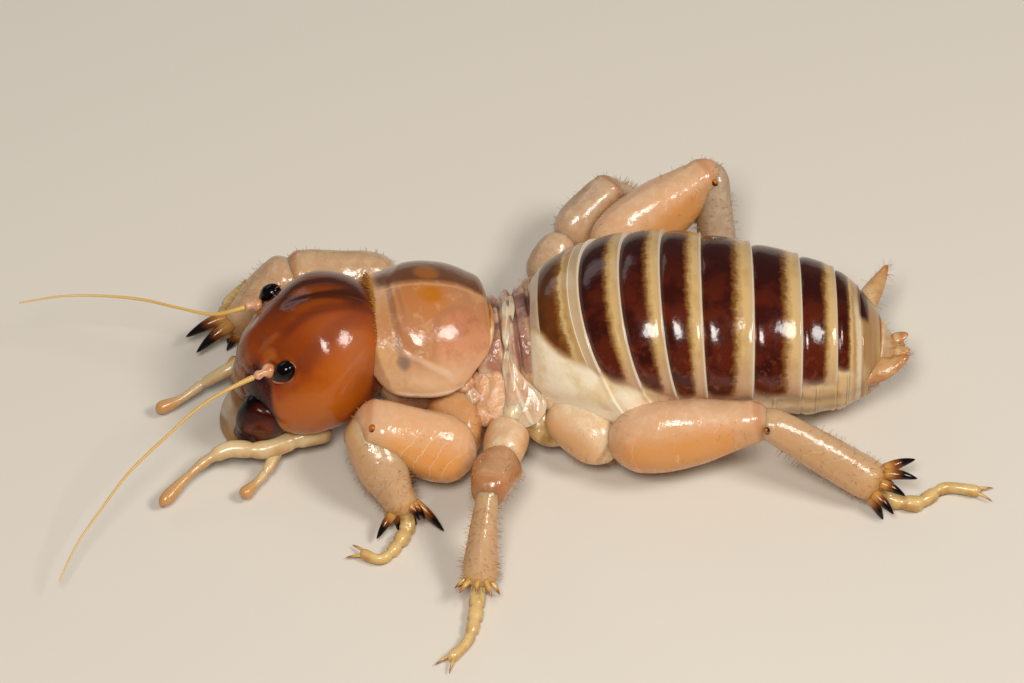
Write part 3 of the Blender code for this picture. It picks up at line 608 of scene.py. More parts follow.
def shield_relief(s, turn):
    """The saddle's rims, its raised field and hoop, the crown groove and fine ripples."""
    c = np.cos(turn)
    hoop_at = s - 0.24 * c ** 2
    rim = hump(s - 0.02, 0.03) + hump(s - 0.97, 0.025)
    dome = held((hoop_at - 0.15) / 0.06) * held((0.95 - np.abs(c)) / 0.08)
    dome = dome * held((0.95 - s) / 0.04)
    disc = hump((s - 0.45) / 0.4, 1)
    groove = hump(c - 0.14 * s + 0.18, 0.05) * hump(s - 0.5, 0.45)
    ripple = 0.012 * np.sin(9 * turn + 14 * s) * (1 - dome)
    return 0.05 * rim + 0.05 * dome + 0.12 * disc - 0.03 * groove + ripple


shield = draw_out("shield", [(SADDLE_FRONT, middle_y(SADDLE_FRONT) + 0.05, 3.1),
    (SADDLE_REAR, middle_y(SADDLE_REAR) + 0.05, SADDLE_MIDDLE)],
    [(0, 2.4, 2.25), (0.25, 2.64, 2.44), (0.55, 2.69, 2.42), (0.75, 2.52, 2.26), (0.89, 2.2, 1.96),
    (1, 1.88, 1.7)], shield_paint, "pronotum", sides=128,
    rings=len(shield_shares) - 1, blunt=0.07, relief=shield_relief, shares=shield_shares)
# Below its edge the saddle is tucked in under the body.
points = vertices_of(shield.data) / MM - HOME
share = (points[:, 0] - SADDLE_FRONT) / (SADDLE_REAR - SADDLE_FRONT)
edge = (SADDLE_EDGE + 0.55 * np.abs(np.clip(2 * share - 1, -1, 1)) ** 6 + 0.85 * hump(share, 0.15)
    + 0.45 * hump(share - 1, 0.2))
under = points[:, 2] < edge
tuck = held((edge - points[:, 2]) / 1.2)
middle = middle_y(points[:, 0])
points[under, 1] = middle[under] + (points[under, 1] - middle[under]) * (1 - 0.5 * tuck[under])
points[under, 2] = (edge[under] - 0.1 * np.sin(np.minimum(tuck[under] * 3, 1) * math.pi)
    + 0.35 * tuck[under])
# The near half of the front edge reaches on over the rear of the head.
points[:, 0] -= 0.3 * held(1 - share * 3.5) * held((middle - points[:, 1]) / 1.6)
# Its lower corners are round.
low = np.clip((middle - points[:, 1]) / 2.4 - 0.62, 0, 0.4) / 0.38
points[:, 0] += low ** 2 * (0.75 * held(1 - share * 3) - 0.35 * held(share * 3 - 2))
# Both ends are hollow, so that the saddle's rim stands free of the head and of the waist.
for end, way in ((0, 1), (1, -1)):
    radius = np.hypot(points[:, 1] - middle_y(points[:, 0]), points[:, 2] - SADDLE_MIDDLE)
    hollow = (np.abs(share - end) < 0.02) * held((1.5 - radius) / 0.6)
    points[:, 0] += way * 0.35 * hollow
shield.data.vertices.foreach_set("co", ((points + HOME) * MM).ravel())
shield.data.update()

# Underside and waist
# Soft moist pinkish skin, two short harder rings with a white ridge between them behind the saddle,
# and on the near side the loose glassy folds that cover the roots of the middle and hind legs.

soft_paint, wire = new_paint("soft_skin_paint", Specular_IOR_Level=0.5, **waxy(0.45, 0.6))
t = wire.place()[2]
cloud = wire.spots(1.1)
veins = wire.spots(2.2, detail=5, rough=0.7)
wire.colours((214, 164, 122), (192, 130, 90, cloud.rise(0.44, 0.62) * 0.8),
    (236, 212, 184, veins.rise(0.52, 0.66) * 0.6),
    (146, 98, 78, (cloud - t * 0.1).rise(0.6, 0.74) * 0.5))
wire.feed("Roughness", 0.12 + veins * 0.16)
wire.relief(cloud * 0.7 + veins * 0.6, 0.12)
draw_out("chest", [(-5.1, middle_y(-5.1), 2.15), (-0.8, middle_y(-0.8), 2.1)],
    [(0, 1.7, 1.15), (0.4, 2.1, 1.3), (1, 1.85, 1.2)], soft_paint, "prothorax", sides=64,
    rings=48, blunt=0.2, relief=lambda s, a: 0.05 * np.sin(7 * a + 9 * s) * np.sin(5 * s))
waist_paint, wire = new_paint("waist_paint", Specular_IOR_Level=0.5, **waxy(0.45, 0.5))
s, c, t = wire.place()
cloud = wire.spots(1.3)
upper = t.rise(0.1, 0.5)
wire.colours((206, 166, 136), (170, 120, 98, cloud.rise(0.42, 0.6)),
    (84, 56, 54, t.rise(0.82, 0.97) * c.fall(0.1, 0.5) * cloud.rise(0.34, 0.5) * 0.8),
    (148, 104, 92, (s + cloud * 0.1).band(0.6, 0.05, 0.06) * upper * 0.6),
    (230, 208, 186, (s + cloud * 0.06).band(0.44, 0.02, 0.05) * t.rise(0, 0.35) * 0.6),
    (214, 194, 172, s.rise(0.72, 0.8) * 0.8))
wire.feed("Roughness", 0.12 + cloud * 0.14)
wire.relief(cloud * 0.6 + wire.spots(2.6) * 0.6, 0.12)
flap_paint, wire = new_paint("flap_paint", Roughness=0.16, Specular_IOR_Level=0.4, **waxy(0.6, 0.6))
c = wire.place()[1]
cloud = wire.spots(1)
wire.colours((214, 184, 154), (190, 146, 112, cloud.rise(0.42, 0.62) * 0.8),
    (232, 212, 188, abs(c).rise(0.8, 0.98) * 0.5),
    (236, 218, 196, (c + cloud * 0.6 - 0.3).band(0.1, 0.03, 0.14) * 0.6))
wire.relief(cloud * 0.8 + wire.spots(2.4) * 0.4, 0.06)
wedge_paint, wire = new_paint("wedge_paint", Roughness=0.18, **waxy(0.4, 0.5))
wire.colours((186, 154, 106), (146, 112, 66, wire.spots(1.2).rise(0.42, 0.64)))
wire.relief(wire.spots(2), 0.08)


def waist_relief(s, turn):
    """Folds across the waist, pleats under it and one ridge."""
    fold = hump(s - 0.36, 0.05) + hump(s - 0.53, 0.04) + hump(s - 0.72, 0.04)
    pleat = 0.05 * np.sin(turn * 9 + 5 * s) * held(-np.sin(turn) + 0.5)
    return -0.18 * fold + pleat + 0.1 * hump(s - 0.46, 0.05)


draw_out("waist", [(-1.5, middle_y(-1.5), 2.35), (0.2, middle_y(0.2) - 0.05, 2.4), (1.7, 0, 2.6)],
    [(0, 1.85, 1.5), (0.4, 1.92, 1.6), (0.65, 2.05, 1.72), (1, 2.25, 1.9)], waist_paint,
    ("mesothorax", "metathorax"), sides=96, rings=90, blunt=0.05,
    shares=np.linspace(0, 1, 91), relief=waist_relief)
# Each fold lists the knots of its middle line, its half widths from root to end, its half depth
# and its paint.
FOLDS = (
    ([(-0.18, -1.46, 3.5), (-0.02, -2.05, 3.02), (0.35, -2.83, 2.42), (0.8, -3.5, 1.85)],
        (0.12, 0.34, 0.66, 0.82), 0.13, flap_paint),
    ([(-1.2, -1.85, 2.85), (-1.02, -2.5, 2.4), (-0.95, -3.45, 1.65)],
        (0.26, 0.42, 0.46, 0.26), 0.24, soft_paint),
    ([(-0.77, -1.7, 2.95), (-0.58, -2.37, 2.45), (-0.32, -3.5, 1.7)],
        (0.3, 0.5, 0.58, 0.4), 0.26, soft_paint),
    ([(-1.58, -2.4, 2.85), (-1.42, -2.87, 2.6), (-1.35, -3.05, 2.4)],
        (0.1, 0.2, 0.28, 0.2), 0.14, flap_paint),
    ([(0.42, -1.6, 3), (0.99, -2.37, 2.5), (1.69, -2.95, 2.05), (2.1, -3.2, 1.7)],
        (0.3, 0.36, 0.34, 0.3), 0.24, soft_paint),
    ([(0.55, -2.8, 2), (0.95, -3.35, 1.6), (1.8, -3.8, 1)],
        (0.45, 0.55, 0.4, 0.06), 0.24, wedge_paint),
    ([(-2.4, -2.5, 2.9), (-1.3, -2.45, 2.85)], (0.26, 0.35, 0.35, 0.26), 0.3, soft_paint),
    ([(-0.04, 0.75, 3.86), (-0.16, -0.33, 4.05), (-0.22, -1.2, 3.78), (-0.2, -1.5, 3.56)],
        (0.12, 0.24, 0.15, 0.1), 0.06, flap_paint))
# The folds lie flat toward the camera's side.
FOLD_UP = (0, -0.643, 0.766)
for k, (run, widths, deep, paint) in enumerate(FOLDS):
    draw_out("fold_%d" % (k + 1), run,
        [(share, wide, deep) for share, wide in zip((0, 0.35, 0.7, 1), widths)], paint, None,
        sides=32, rings=40, up=FOLD_UP, blunt=0.22,
        relief=lambda s, a: 0.05 * widths[2] * (np.sin(3 * a + 8 * s) + np.sin(11 * s + 2 * a)))

# Abdomen
# Nine overlapping rings. On the back each is a glossy maroon plate with a straw-yellow rear part and
# a thin clear edge that stands over the next ring; thin white lines of painted highlight run along the
# edges, and painted shade darkens the maroon on the far side. The flanks and belly are soft whitish skin.

# Each row is x, half width, half height and the height of the middle.
ABDOMEN = np.array((
    (0.45, 1.95, 1.75, 2.55), (0.8, 2.35, 2.15, 2.68), (1.8, 2.95, 2.5, 2.9), (3, 3.3, 2.75, 3.1),
    (5, 3.48, 2.96, 3.28), (7, 3.42, 2.9, 3.2), (9, 3.17, 2.7, 3.05), (10.5, 2.92, 2.5, 2.85),
    (11.5, 2.62, 2.25, 2.7), (12.3, 2.1, 1.8, 2.52), (12.9, 1.5, 1.3, 2.3), (13.4, 0.85, 0.75, 2.15)))
RING_EDGES = np.array((0.62, 2.31, 3.73, 5.15, 6.6, 8.45, 10.15, 11.4, 12.28, 12.98))
BACK_SWEEP, TAIL_BEND, WAIST_BEND = 1.5, 0.045, 0.12


def abdomen_at(x):
    """Sideways place, height, half width and half height of the abdomen, smoothly at each x."""
    values = eased(ABDOMEN, x)
    bend = -TAIL_BEND * np.clip(x - 5, 0, None) - WAIST_BEND * np.clip(2.2 - x, 0, None)
    return bend, values[:, 2], values[:, 0], values[:, 1]


# Each ring has fourteen rows, with a ledge from its rear edge down to the front of the next.
ring_shares = np.array(
    (0, 0.02, 0.06, 0.12, 0.22, 0.34, 0.46, 0.58, 0.7, 0.8, 0.88, 0.94, 0.975, 0.995))
ring_rise = np.array(
    (-0.1, -0.085, -0.055, -0.025, 0, 0.012, 0.018, 0.022, 0.02, 0.012, 0.01, 0.03, 0.04, 0))
ring_count = len(RING_EDGES) - 1
stations = np.concatenate([k + ring_shares for k in range(ring_count)] + [[ring_count - 0.001]])
rises = np.concatenate([ring_rise] * ring_count + [[-0.05]])

band_paint, wire = new_paint("banded_plate_paint", Specular_IOR_Level=0.42, **waxy(0.1, 0.5))
ring, phi, lean = wire.place()
cloud = wire.spots(1)
fine = wire.spots(4.5)
share = wire.maths("FRACT", ring)
teeth = (phi + wire.maths("FLOOR", ring) * 3.7).streaks(26, 5)
ragged = (cloud - 0.5) * 0.16 + (fine - 0.5) * 0.16 + (teeth - 0.5) * 0.05
first = ring.fall(0.97, 1)
wander = (cloud - 0.5) * 0.4
last = ring.rise(7.55, 7.8)
dark_end = 0.66 - first * 0.11 - ring.rise(6.9, 7) * 0.16
plate_end = (0.13 + ring.rise(-0.2, 1.3) * 0.27 + ring.rise(1, 3.2) * 0.085
    + first * share.band(0.42, 0.05, 0.34) * 0.055 - wire.maths("FLOOR", ring).rise(4.4, 7.6) * 0.15)
plate = (phi - plate_end + (cloud - 0.5) * 0.05).fall(-0.01, 0.02)
dark_plate = (phi - plate_end + (cloud - 0.5) * 0.06 + (fine - 0.5) * 0.015
    + share.gap(0.3, 1) * 0.12).fall(-0.03, 0.03)
dark_start = first * 0.15
dark = (share + ragged - dark_end).fall(-0.08, 0.06) * (share - dark_start).rise(0, 0.02) * dark_plate
golden = (share + ragged - dark_end).rise(-0.13, -0.01) * dark
clear_edge = (share + first * 0.14).rise(0.9, 0.93) * plate
# Painted highlight: thin white lines at each ring's rear edge, at the front of each dark band and across
# the first ring.
white_highlight_line = (share.rise(0.965, 0.985) + (share - dark_start).band(0, 0.004, 0.012) * 0.5
    + first * share.band(0.775, 0.004, 0.012)) * plate
milk = (phi - plate_end + (cloud - 0.5) * 0.05).rise(0, 0.05)
collar = first * share.fall(0.13, 0.16) * plate
rump = ring.rise(4, 6.5)
wire.colours((200, 166, 112),
    (160, 122, 70, (share + ragged).band(0.7, 0.02, 0.08) * 0.6 + cloud.rise(0.5, 0.7) * 0.35),
    (180, 140, 116, phi.rise(0.26, 0.44) * 0.7), (240, 224, 196, milk),
    (222, 194, 142, milk * cloud.rise(0.46, 0.66) * 0.7), (200, 160, 108, milk * rump * 0.8),
    (84, 31, 12, dark), (48, 12, 5, dark * cloud.rise(0.42, 0.6) * 0.85),
    # Painted shade: the maroon plates are darker on the far side.
    (46, 12, 6, dark * lean.rise(-0.5, 0.2) * 0.7),
    (108, 52, 34, dark * fine.rise(0.52, 0.66) * phi.rise(0.15, 0.42) * 0.7),
    (134, 86, 34, golden * 0.7 + dark * first * 0.25), (188, 164, 134, clear_edge * 0.7),
    (236, 226, 208, white_highlight_line * 0.75), (206, 180, 156, collar * 0.8), (170, 130, 84, last * 0.85),
    (222, 204, 172, last * (ring + lean * 0.1 + wander).band(7.86, 0.08, 0.16) * lean.fall(-0.1, 0.3)
        * 0.7),
    (142, 96, 54, last * (ring.band(8.08, 0.03, 0.08) + ring.band(8.6, 0.1, 0.2) * 0.6) * 0.6),
    (54, 18, 10, ring.band(8.15, 0.16, 0.16) * (lean + cloud * 0.3).rise(-0.15, 0.1) * last))
wire.feed("Roughness", 0.09 + fine * 0.1)
crease = share.band(0.45, 0.02, 0.05) * milk * ring.rise(2.5, 4)
wire.relief(fine * (0.1 + milk * 0.2) + wire.spots(1.6) * (0.3 + milk * 0.6) - crease, 0.05)

rings = len(stations) + 1
piece, unit = new_ball("abdomen_skin", 144, rings)
level, turn = rows_and_turns(unit, rings)
inner = np.clip(level - 1, 0, len(stations) - 1)
ring = stations[inner]
x = np.interp(ring, np.arange(ring_count + 1), RING_EDGES)
phi = np.abs(np.arctan2(np.cos(turn), np.sin(turn))) / math.pi
# The rings lean back down the sides, most of all near the waist.
sweep = BACK_SWEEP * held(1 - (x - 0.6) / 7) * held(x - 0.55)
x_swept = x + sweep * (np.minimum(phi, 0.55) / 0.45) ** 2
bend, mid, wide, high = abdomen_at(x_swept)
plate_part = 1 - held((phi - 0.44) / 0.12)
smooth_flank = np.clip(ring / 4, 0.1, 1)
rise = rises[inner] * (0.35 * smooth_flank + (1 - 0.35 * smooth_flank) * plate_part)
flank_fold = (-0.1 * hump(phi - 0.52, 0.06)
    + 0.05 * smooth_flank * np.sin(ring * 2 * math.pi)) * (1 - plate_part)
# The near flank bulges where the belly's skin is pushed out over the root of the hind leg.
flank_fold = flank_fold + 0.55 * hump(x - 2.2, 2) * hump(phi - 0.6, 0.22) * (np.cos(turn) < 0)
grow = 1 + (rise * 1.4 + flank_fold) / 3
points = np.stack(
    (x_swept, bend + wide * grow * np.cos(turn), mid + high * grow * np.sin(turn)), axis=1)
for pole, at in ((0, RING_EDGES[:1]), (rings, RING_EDGES[-1:])):
    bend, mid, wide, high = abdomen_at(at)
    points[level == pole] = (at[0], bend[0], mid[0])
place = np.stack((ring, phi, np.cos(turn)), axis=1)
settle(piece, points, place, band_paint, ["abdomen_ring_%d" % k for k in range(1, 10)])

# Tail end
# A pale orange cone of small plates round the vent, drawn into the last ring, and two short soft
# cerci beside it that point out and up.

tail_paint, wire = new_paint("tail_paint", Roughness=0.2, **waxy(0.4, 0.5))
s, _, t = wire.place()
cloud = wire.spots(1.5)
wire.colours((196, 152, 104), (176, 122, 76, cloud.rise(0.4, 0.62)),
    (172, 92, 36, s.rise(0.86, 0.99) * 0.8), (230, 206, 160, t.rise(0.2, 0.9) * 0.4 * s.fall(0.3, 0.6)))
wire.relief(cloud * 0.7 + wire.spots(4) * 0.4, 0.08)
bend, mid, wide, high = (float(v[0]) for v in abdomen_at(np.array([12.85])))
draw_out("tail_cone", [(12.7, bend, mid), (13.4, bend, 2.15), (13.95, bend - 0.02, 2.1)],
    [(0, wide * 0.95, high * 0.95), (0.4, 0.86, 0.74), (0.8, 0.44, 0.38), (1, 0.32, 0.28)], tail_paint,
    "abdomen_tip", sides=48, rings=40, blunt=0.12,
    relief=lambda s, a: 0.1 * np.sin(a * 2 + 1.2) * s + 0.05 * np.sin(a * 5) * s)
# Each cercus lists the knots of its middle line, and how wide its root is.
CERCI = {
    "left": ([(11.4, -1.35, 2.45), (12.4, -1.65, 2.58), (13.25, -1.6, 2.74), (14, -1.25, 2.95)], 1.3),
    "right": ([(12.35, 0.9, 2.7), (13, 2.1, 2.85), (13.4, 2.9, 3)], 0.8)}
for label, (run, wide) in CERCI.items():
    draw_out("cercus_skin_" + label, run,
        [(0, 0.56 * wide, 0.52), (0.55, 0.42 * wide, 0.36), (1, 0.08, 0.08)], tail_paint,
        "cercus_" + label, sides=24, rings=30, blunt=0.06)
VENT_PLATES = ([(13.5, -0.1, 2.45), (14.05, 0.02, 2.62)], [(13.5, -0.62, 2.4), (14.1, -0.62, 2.5)])
for k, run in enumerate(VENT_PLATES):
    draw_out("vent_plate_%d" % (k + 1), run, [(0, 0.26, 0.14), (0.6, 0.2, 0.1), (1, 0.08, 0.05)],
        tail_paint, None, sides=16, rings=16, blunt=0.2)

# Legs
# Waxy skin over pale muscle, with white threads inside, an amber pin on each side of the knee, a
# crown of amber spurs with black tips round the end of the shin, and a jointed straw foot with two
# small claws.


def new_leg_paint(name, base, deep, pale, knee, threads=0, facing=(0, 1)):
    """Waxy skin: a clear base, deep flesh on the side it faces, a pale top and thin threads."""
    paint, wire = new_paint(name, Specular_IOR_Level=0.5, **waxy(0.65, 0.9))
    s, c, t = wire.place()
    cloud = wire.spots(0.6)
    fine = wire.spots(5)
    wobble = (wire.spots(0.9) - 0.5) * 1.6
    thread = wire.maths("FRACT", s * 8 + c * 1.4 + wobble).band(0.5, 0.006, 0.025)
    thread = thread * cloud.rise(0.5, 0.6)
    fibre = wire.spots(2.4, detail=5, rough=0.75).rise(0.44, 0.62)
    seam = (s + wobble * 0.012).band(0.925, 0.006, 0.03)
    front = c * facing[0] + t * facing[1] + wobble * 0.1
    core = front.rise(0.3, 0.8) * (s + wobble * 0.04).band(0.42, 0.28, 0.12)
    wire.colours(base, (*deep, cloud.rise(0.4, 0.62) * 0.3 + core * 0.65),
        (*pale, t.rise(0.35, 0.95) * (0.5 + fibre * 0.3)), (*knee, s.rise(0.8, 0.98) * 0.7),
        (176, 112, 60, seam * 0.35), (240, 220, 190, thread * threads))
    wire.feed("Roughness", 0.09 + fine * 0.12)
    wire.relief(cloud * 0.8 + fine * 0.3 + wire.spots(2.2) * 0.3, 0.06)
    return paint


# Each skin lists its base, deep, pale and knee colours, and some their threads and facing.
peach, blush, amber, beige, brown, tan, straw, shaded_shin, white = (
    new_leg_paint(name + "_paint", *looks) for name, *looks in (
    ("peach_skin", (206, 156, 112), (220, 152, 82), (218, 180, 146), (206, 160, 124), 0.5, (-0.75, 0.62)),
    ("blush_skin", (206, 154, 108), (212, 146, 78), (220, 186, 154), (200, 150, 112), 0.3, (0.95, 0.1)),
    ("amber_skin", (194, 134, 80), (186, 116, 58), (204, 160, 114), (196, 140, 90)),
    ("shin_skin", (194, 152, 110), (184, 142, 98), (200, 168, 132), (204, 154, 92), 0.25),
    ("brown_skin", (186, 130, 84), (150, 98, 58), (200, 158, 118), (160, 110, 76)),
    ("tan_skin", (184, 146, 110), (154, 114, 78), (206, 178, 148), (150, 112, 82)),
    ("straw_skin", (194, 150, 108), (162, 118, 76), (208, 178, 144), (170, 128, 88)),
    # A greyer, darker copy of the pale skin: painted shade for the far hind shin.
    ("smoky_skin", (172, 142, 114), (142, 112, 84), (196, 174, 148), (176, 150, 120)),
    ("pale_root", (212, 168, 122), (202, 148, 96), (232, 210, 180), (222, 190, 150)),
    ))
pin_paint, wire = new_paint("knee_pin_paint", Roughness=0.12)
wire.colours((186, 104, 22), (58, 20, 8, wire.spots(2.6).rise(0.42, 0.52)))
spur_paint, wire = new_paint("spur_paint", Roughness=0.14, Specular_IOR_Level=0.4, **waxy(0.2, 0.2))
s = wire.place()[0]
grain = (wire.spots(3) - 0.5) * 0.2
wire.colours((188, 134, 70), (126, 66, 18, (s + grain).rise(0.15, 0.42)),
    (18, 8, 7, (s + grain).rise(0.34, 0.62)))
pale_spur_paint, wire = new_paint("pale_spur_paint", Roughness=0.2, **waxy(0.3, 0.2))
s = wire.place()[0]
wire.colours((206, 164, 92), (150, 88, 30, s.rise(0.5, 0.85)))
foot_paint, wire = new_paint("foot_paint", Roughness=0.2, **waxy(0.45, 0.4))
t = wire.place()[2]
wire.colours((206, 170, 106), (180, 132, 66, wire.spots(1.4).rise(0.4, 0.62)),
    (230, 206, 150, t.rise(0.3, 0.9) * 0.4))
wire.relief(wire.spots(3), 0.03)


def spur(name, root, tip, thick, paint):
    """A slightly bowed spike from inside the skin to its tip."""
    root, tip = np.array(root), np.array(tip)
    bow = np.array((0, 0, -0.06)) * np.linalg.norm(tip - root)
    draw_out(name, [root, (root + tip) / 2 - bow, tip],
        [(0, thick), (0.5, thick * 0.78), (0.85, thick * 0.38), (1, thick * 0.1)], paint, None,
        sides=12, rings=16, up=(0.3, 0.2, 1), blunt=0.06)


def padded_foot(s, turn):
    """Three joints of a foot, with a pad under each."""
    joints = (0.3, 0.46, 0.62)
    pinch = sum(hump(s - j, 0.04) for j in joints)
    pad = sum(hump(s - j + 0.05, 0.05) for j in joints)
    return -0.06 * pinch + 0.07 * pad * held(-np.sin(turn))


# How far each skin runs on past the joint.
JOINT_LAP = 0.35


def build_leg(name, points, sizes, spurs, spur_size, paints):
    """One leg from its root at the body to its claws, over the same points as its solids.

    Points are the hip's two ends, the thigh's root, knee, ankle and the run of the foot. Spurs list
    their turn round the shin, lean and share of the longest. Paints are hip, thigh, shin and spurs.
    """
    coxa_start, coxa_end, thigh_start, knee, ankle = (np.array(p, dtype=float) for p in points[:5])
    run = np.array(points[5], dtype=float)
    coxa_size, thigh_size, knee_size, shin_top, shin_mid, shin_end, foot_size = sizes
    hip_paint, thigh_paint, shin_paint, spike_paint = paints
    length, thick = spur_size
    is_middle = name.startswith("mid")
    pin_share = {"front": 0.93, "mid": 0.7, "hind": 0.88}[name.split("_")[0]]
    # The root runs on into the thigh, so that no gap is left between them.
    thigh_way = one_long(knee - thigh_start)
    link = coxa_end * 0.45 + thigh_start * 0.55 if is_middle else thigh_start + thigh_way * JOINT_LAP
    if name == "hind_left":
        coxa_start, coxa_end, link = np.array(((1.5, -2.4, 1.7), (2.55, -3.5, 1.55), (3.6, -4.6, 1.4)))
    draw_out(name + "_hip_skin", [coxa_start, coxa_end, link],
        graded(coxa_size, (0, 1), (0.55, 0.97), (1, 0.68)), hip_paint, name + "_coxa",
        sides=40, rings=44, blunt=0.3, relief=lambda s, a: 0.05 * np.sin(a * 3 + 3 * s))
    if is_middle:
        draw_out(name + "_trochanter_skin",
            [coxa_end * 0.7 + thigh_start * 0.3, thigh_start * 0.65 + knee * 0.35],
            [(0, 0.66, 0.66), (0.5, 0.76, 0.74), (1, 0.7, 0.68)], hip_paint, name + "_trochanter",
            sides=36, rings=32, blunt=0.3, relief=lambda s, a: 0.05 * np.sin(a * 2 + 5 * s))
    shin_way = one_long(ankle - knee)
    thigh_top = thigh_start + thigh_way * (0.9 if is_middle else 0)
    draw_out(name + "_thigh_skin", [thigh_top, knee + thigh_way * JOINT_LAP],
        graded(thigh_size, (0, 0.7), (0.28, 1), (0.55, 0.92)) + graded(knee_size, (0.82, 1), (1, 0.95)),
        thigh_paint, name + "_femur", sides=48, rings=56, blunt=0.17,
        relief=lambda s, a: -0.04 * hump(s - 0.84, 0.05) + 0.03 * np.sin(a * 4 + s * 5))
    draw_out(name + "_shin_skin", [knee - shin_way * JOINT_LAP, ankle],
        graded(shin_top, (0, 0.9), (0.2, 1)) + [(0.5, *shin_mid), (0.88, *shin_end), (1, *shin_end)],
        shin_paint, name + "_tibia", sides=40, rings=56, blunt=0.16,
        relief=lambda s, a: 0.03 * np.sin(a * 3 + s * 4) + 0.05 * hump(s - 0.93, 0.06))
    side_way = one_long(np.cross(shin_way, thigh_way))
    for sign in (-1, 1):
        at = knee + side_way * sign * (knee_size[0] * pin_share) + shin_way * 0.22 - thigh_way * 0.02
        draw_out(name + "_knee_pin_%d" % (sign + 1),
            [at - side_way * sign * 0.16, at + side_way * sign * 0.07],
            [(0, 0.17, 0.13), (1, 0.13, 0.1)], pin_paint, None, sides=16, rings=12,
            up=thigh_way, blunt=0.5)
    across = one_long(np.cross(shin_way, (0, 0, 1)))
    above = np.cross(across, shin_way)
    for k, (turn, lean, share) in enumerate(spurs):
        out = across * math.cos(turn) + above * math.sin(turn)
        root = ankle + out * shin_end[0] * 0.66 - shin_way * 0.3
        way = shin_way * math.cos(lean) + out * math.sin(lean)
        spur(name + "_spur_%d" % (k + 1), root, root + way * (length * share + 0.3),
            thick * (0.7 + 0.3 * share), spike_paint)
    heel = ankle - shin_way * 0.25
    draw_out(name + "_foot_skin", [heel, *run],
        graded(foot_size, (0, 0.8), (0.35, 0.92), (0.6, 0.7, 0.8), (0.85, 0.6, 0.7), (1, 0.74, 0.8)),
        foot_paint, name + "_foot", sides=24, rings=60, blunt=0.07, relief=padded_foot)
    toe_way = one_long(run[-1] - run[-2])
    aside = np.cross(toe_way, (0, 0, 1))
    for sign in (-1, 1):
        spur(name + "_claw_%d" % (sign + 1),
            run[-1] - toe_way * 0.25 + aside * sign * 0.06 + (0, 0, 0.03),
            run[-1] + toe_way * 0.42 + aside * sign * 0.3 + (0, 0, -0.1), 0.065, pale_spur_paint)


# Half widths and half depths of hip, thigh, knee, the shin's top, middle and end, and the foot.
FRONT = ((0.85, 0.95), (1.22, 1.3), (1.08, 1.06), (0.84, 0.82), (0.92, 0.86), (0.6, 0.56), (0.3, 0.28))
FAR_FRONT = ((0.85, 0.95), (1.02, 1.1), (0.9, 0.9), (0.92, 0.88), (0.92, 0.86), (0.6, 0.56), (0.3, 0.28))
MIDDLE = ((0.66, 0.72), (0.84, 0.86), (0.68, 0.68), (0.4, 0.42), (0.5, 0.48), (0.62, 0.52), (0.3, 0.28))
HIND = ((1, 1.05), (1.18, 1.4), (0.78, 0.86), (0.6, 0.66), (0.68, 0.72), (0.78, 0.68), (0.32, 0.3))
# A middle shin ends in many short spurs.
SMALL_CROWN = [(0.2 + 2 * math.pi * k / 9, 0.75, 0.8 + 0.3 * (k % 2)) for k in range(9)]
# The legs, near and far, from front to hind.
build_leg("front_left", [(-2.5, -2.2, 2.1), (-1.75, -3.7, 1.6), (-1.3, -4.52, 1.25),
    (-5.25, -4.3, 2.8), (-3.66, -6.62, 0.68),
    [(-3.65, -6.75, 0.38), (-3.98, -7.56, 0.27), (-4.56, -8.24, 0.25), (-5.3, -7.95, 0.24)]], FRONT,
    [(-0.15, 1.05, 0.95), (1.9, 0.15, 0.4), (2.4, 0.2, 0.5), (3, 0.35, 1.4), (4.2, 0.3, 0.7),
    (5.2, 0.4, 0.6)], (0.85, 0.19), (amber, peach, beige, spur_paint))
build_leg("front_right", [(-2.9, 1, 2), (-3.7, 2.5, 1.7), (-4, 3.25, 1.65), (-7.9, 3.12, 2.3),
    (-10.2, 1.85, 0.75),
    [(-10.25, 2, 0.38), (-10.4, 2.85, 0.27), (-10.2, 3.65, 0.25), (-9.7, 4.2, 0.24)]], FAR_FRONT,
    [(1.2, 0.3, 1.6), (2.1, 0.2, 1.6), (3.9, 0.2, 0.7), (4.7, 0.3, 0.6), (5.6, 0.4, 0.6)], (0.85, 0.22),
    (straw, straw, straw, spur_paint))
build_leg("mid_left", [(0.25, -1.5, 1.9), (0, -2.85, 1.75), (-0.18, -4.35, 1.5), (-0.8, -7.35, 3),
    (-1.18, -9.8, 0.66),
    [(-1.2, -9.95, 0.36), (-1.31, -10.94, 0.27), (-1.51, -11.76, 0.25), (-2.15, -12.6, 0.24)]], MIDDLE,
    SMALL_CROWN, (0.35, 0.1), (white, brown, beige, pale_spur_paint))
build_leg("mid_right", [(0.5, 1.3, 1.9), (0.75, 2.6, 1.7), (1.2, 4, 1.9), (3.55, 6.45, 3.15),
    (5, 7.35, 0.68), [(5.1, 7.4, 0.36), (5.9, 7.75, 0.27), (6.7, 7.7, 0.25), (7.5, 7.2, 0.24)]], MIDDLE,
    SMALL_CROWN, (0.35, 0.1), (tan, tan, tan, pale_spur_paint))
build_leg("hind_left", [(1.95, -2.3, 1.45), (2.5, -4.2, 1.4), (3.35, -4.33, 1.68), (8.75, -4.15, 2.88),
    (13.05, -5.48, 0.82),
    [(13.1, -5.5, 0.42), (14.14, -5.8, 0.3), (15.23, -5.1, 0.27), (16.5, -5.25, 0.26)]], HIND,
    [(2.6, 0.8, 1.15), (1.8, 0.45, 1.1), (1, 0.2, 0.85), (0.1, 0.45, 0.9), (-0.7, 0.55, 0.85),
    (3.8, 0.5, 0.8)], (0.8, 0.21), (white, blush, beige, spur_paint))
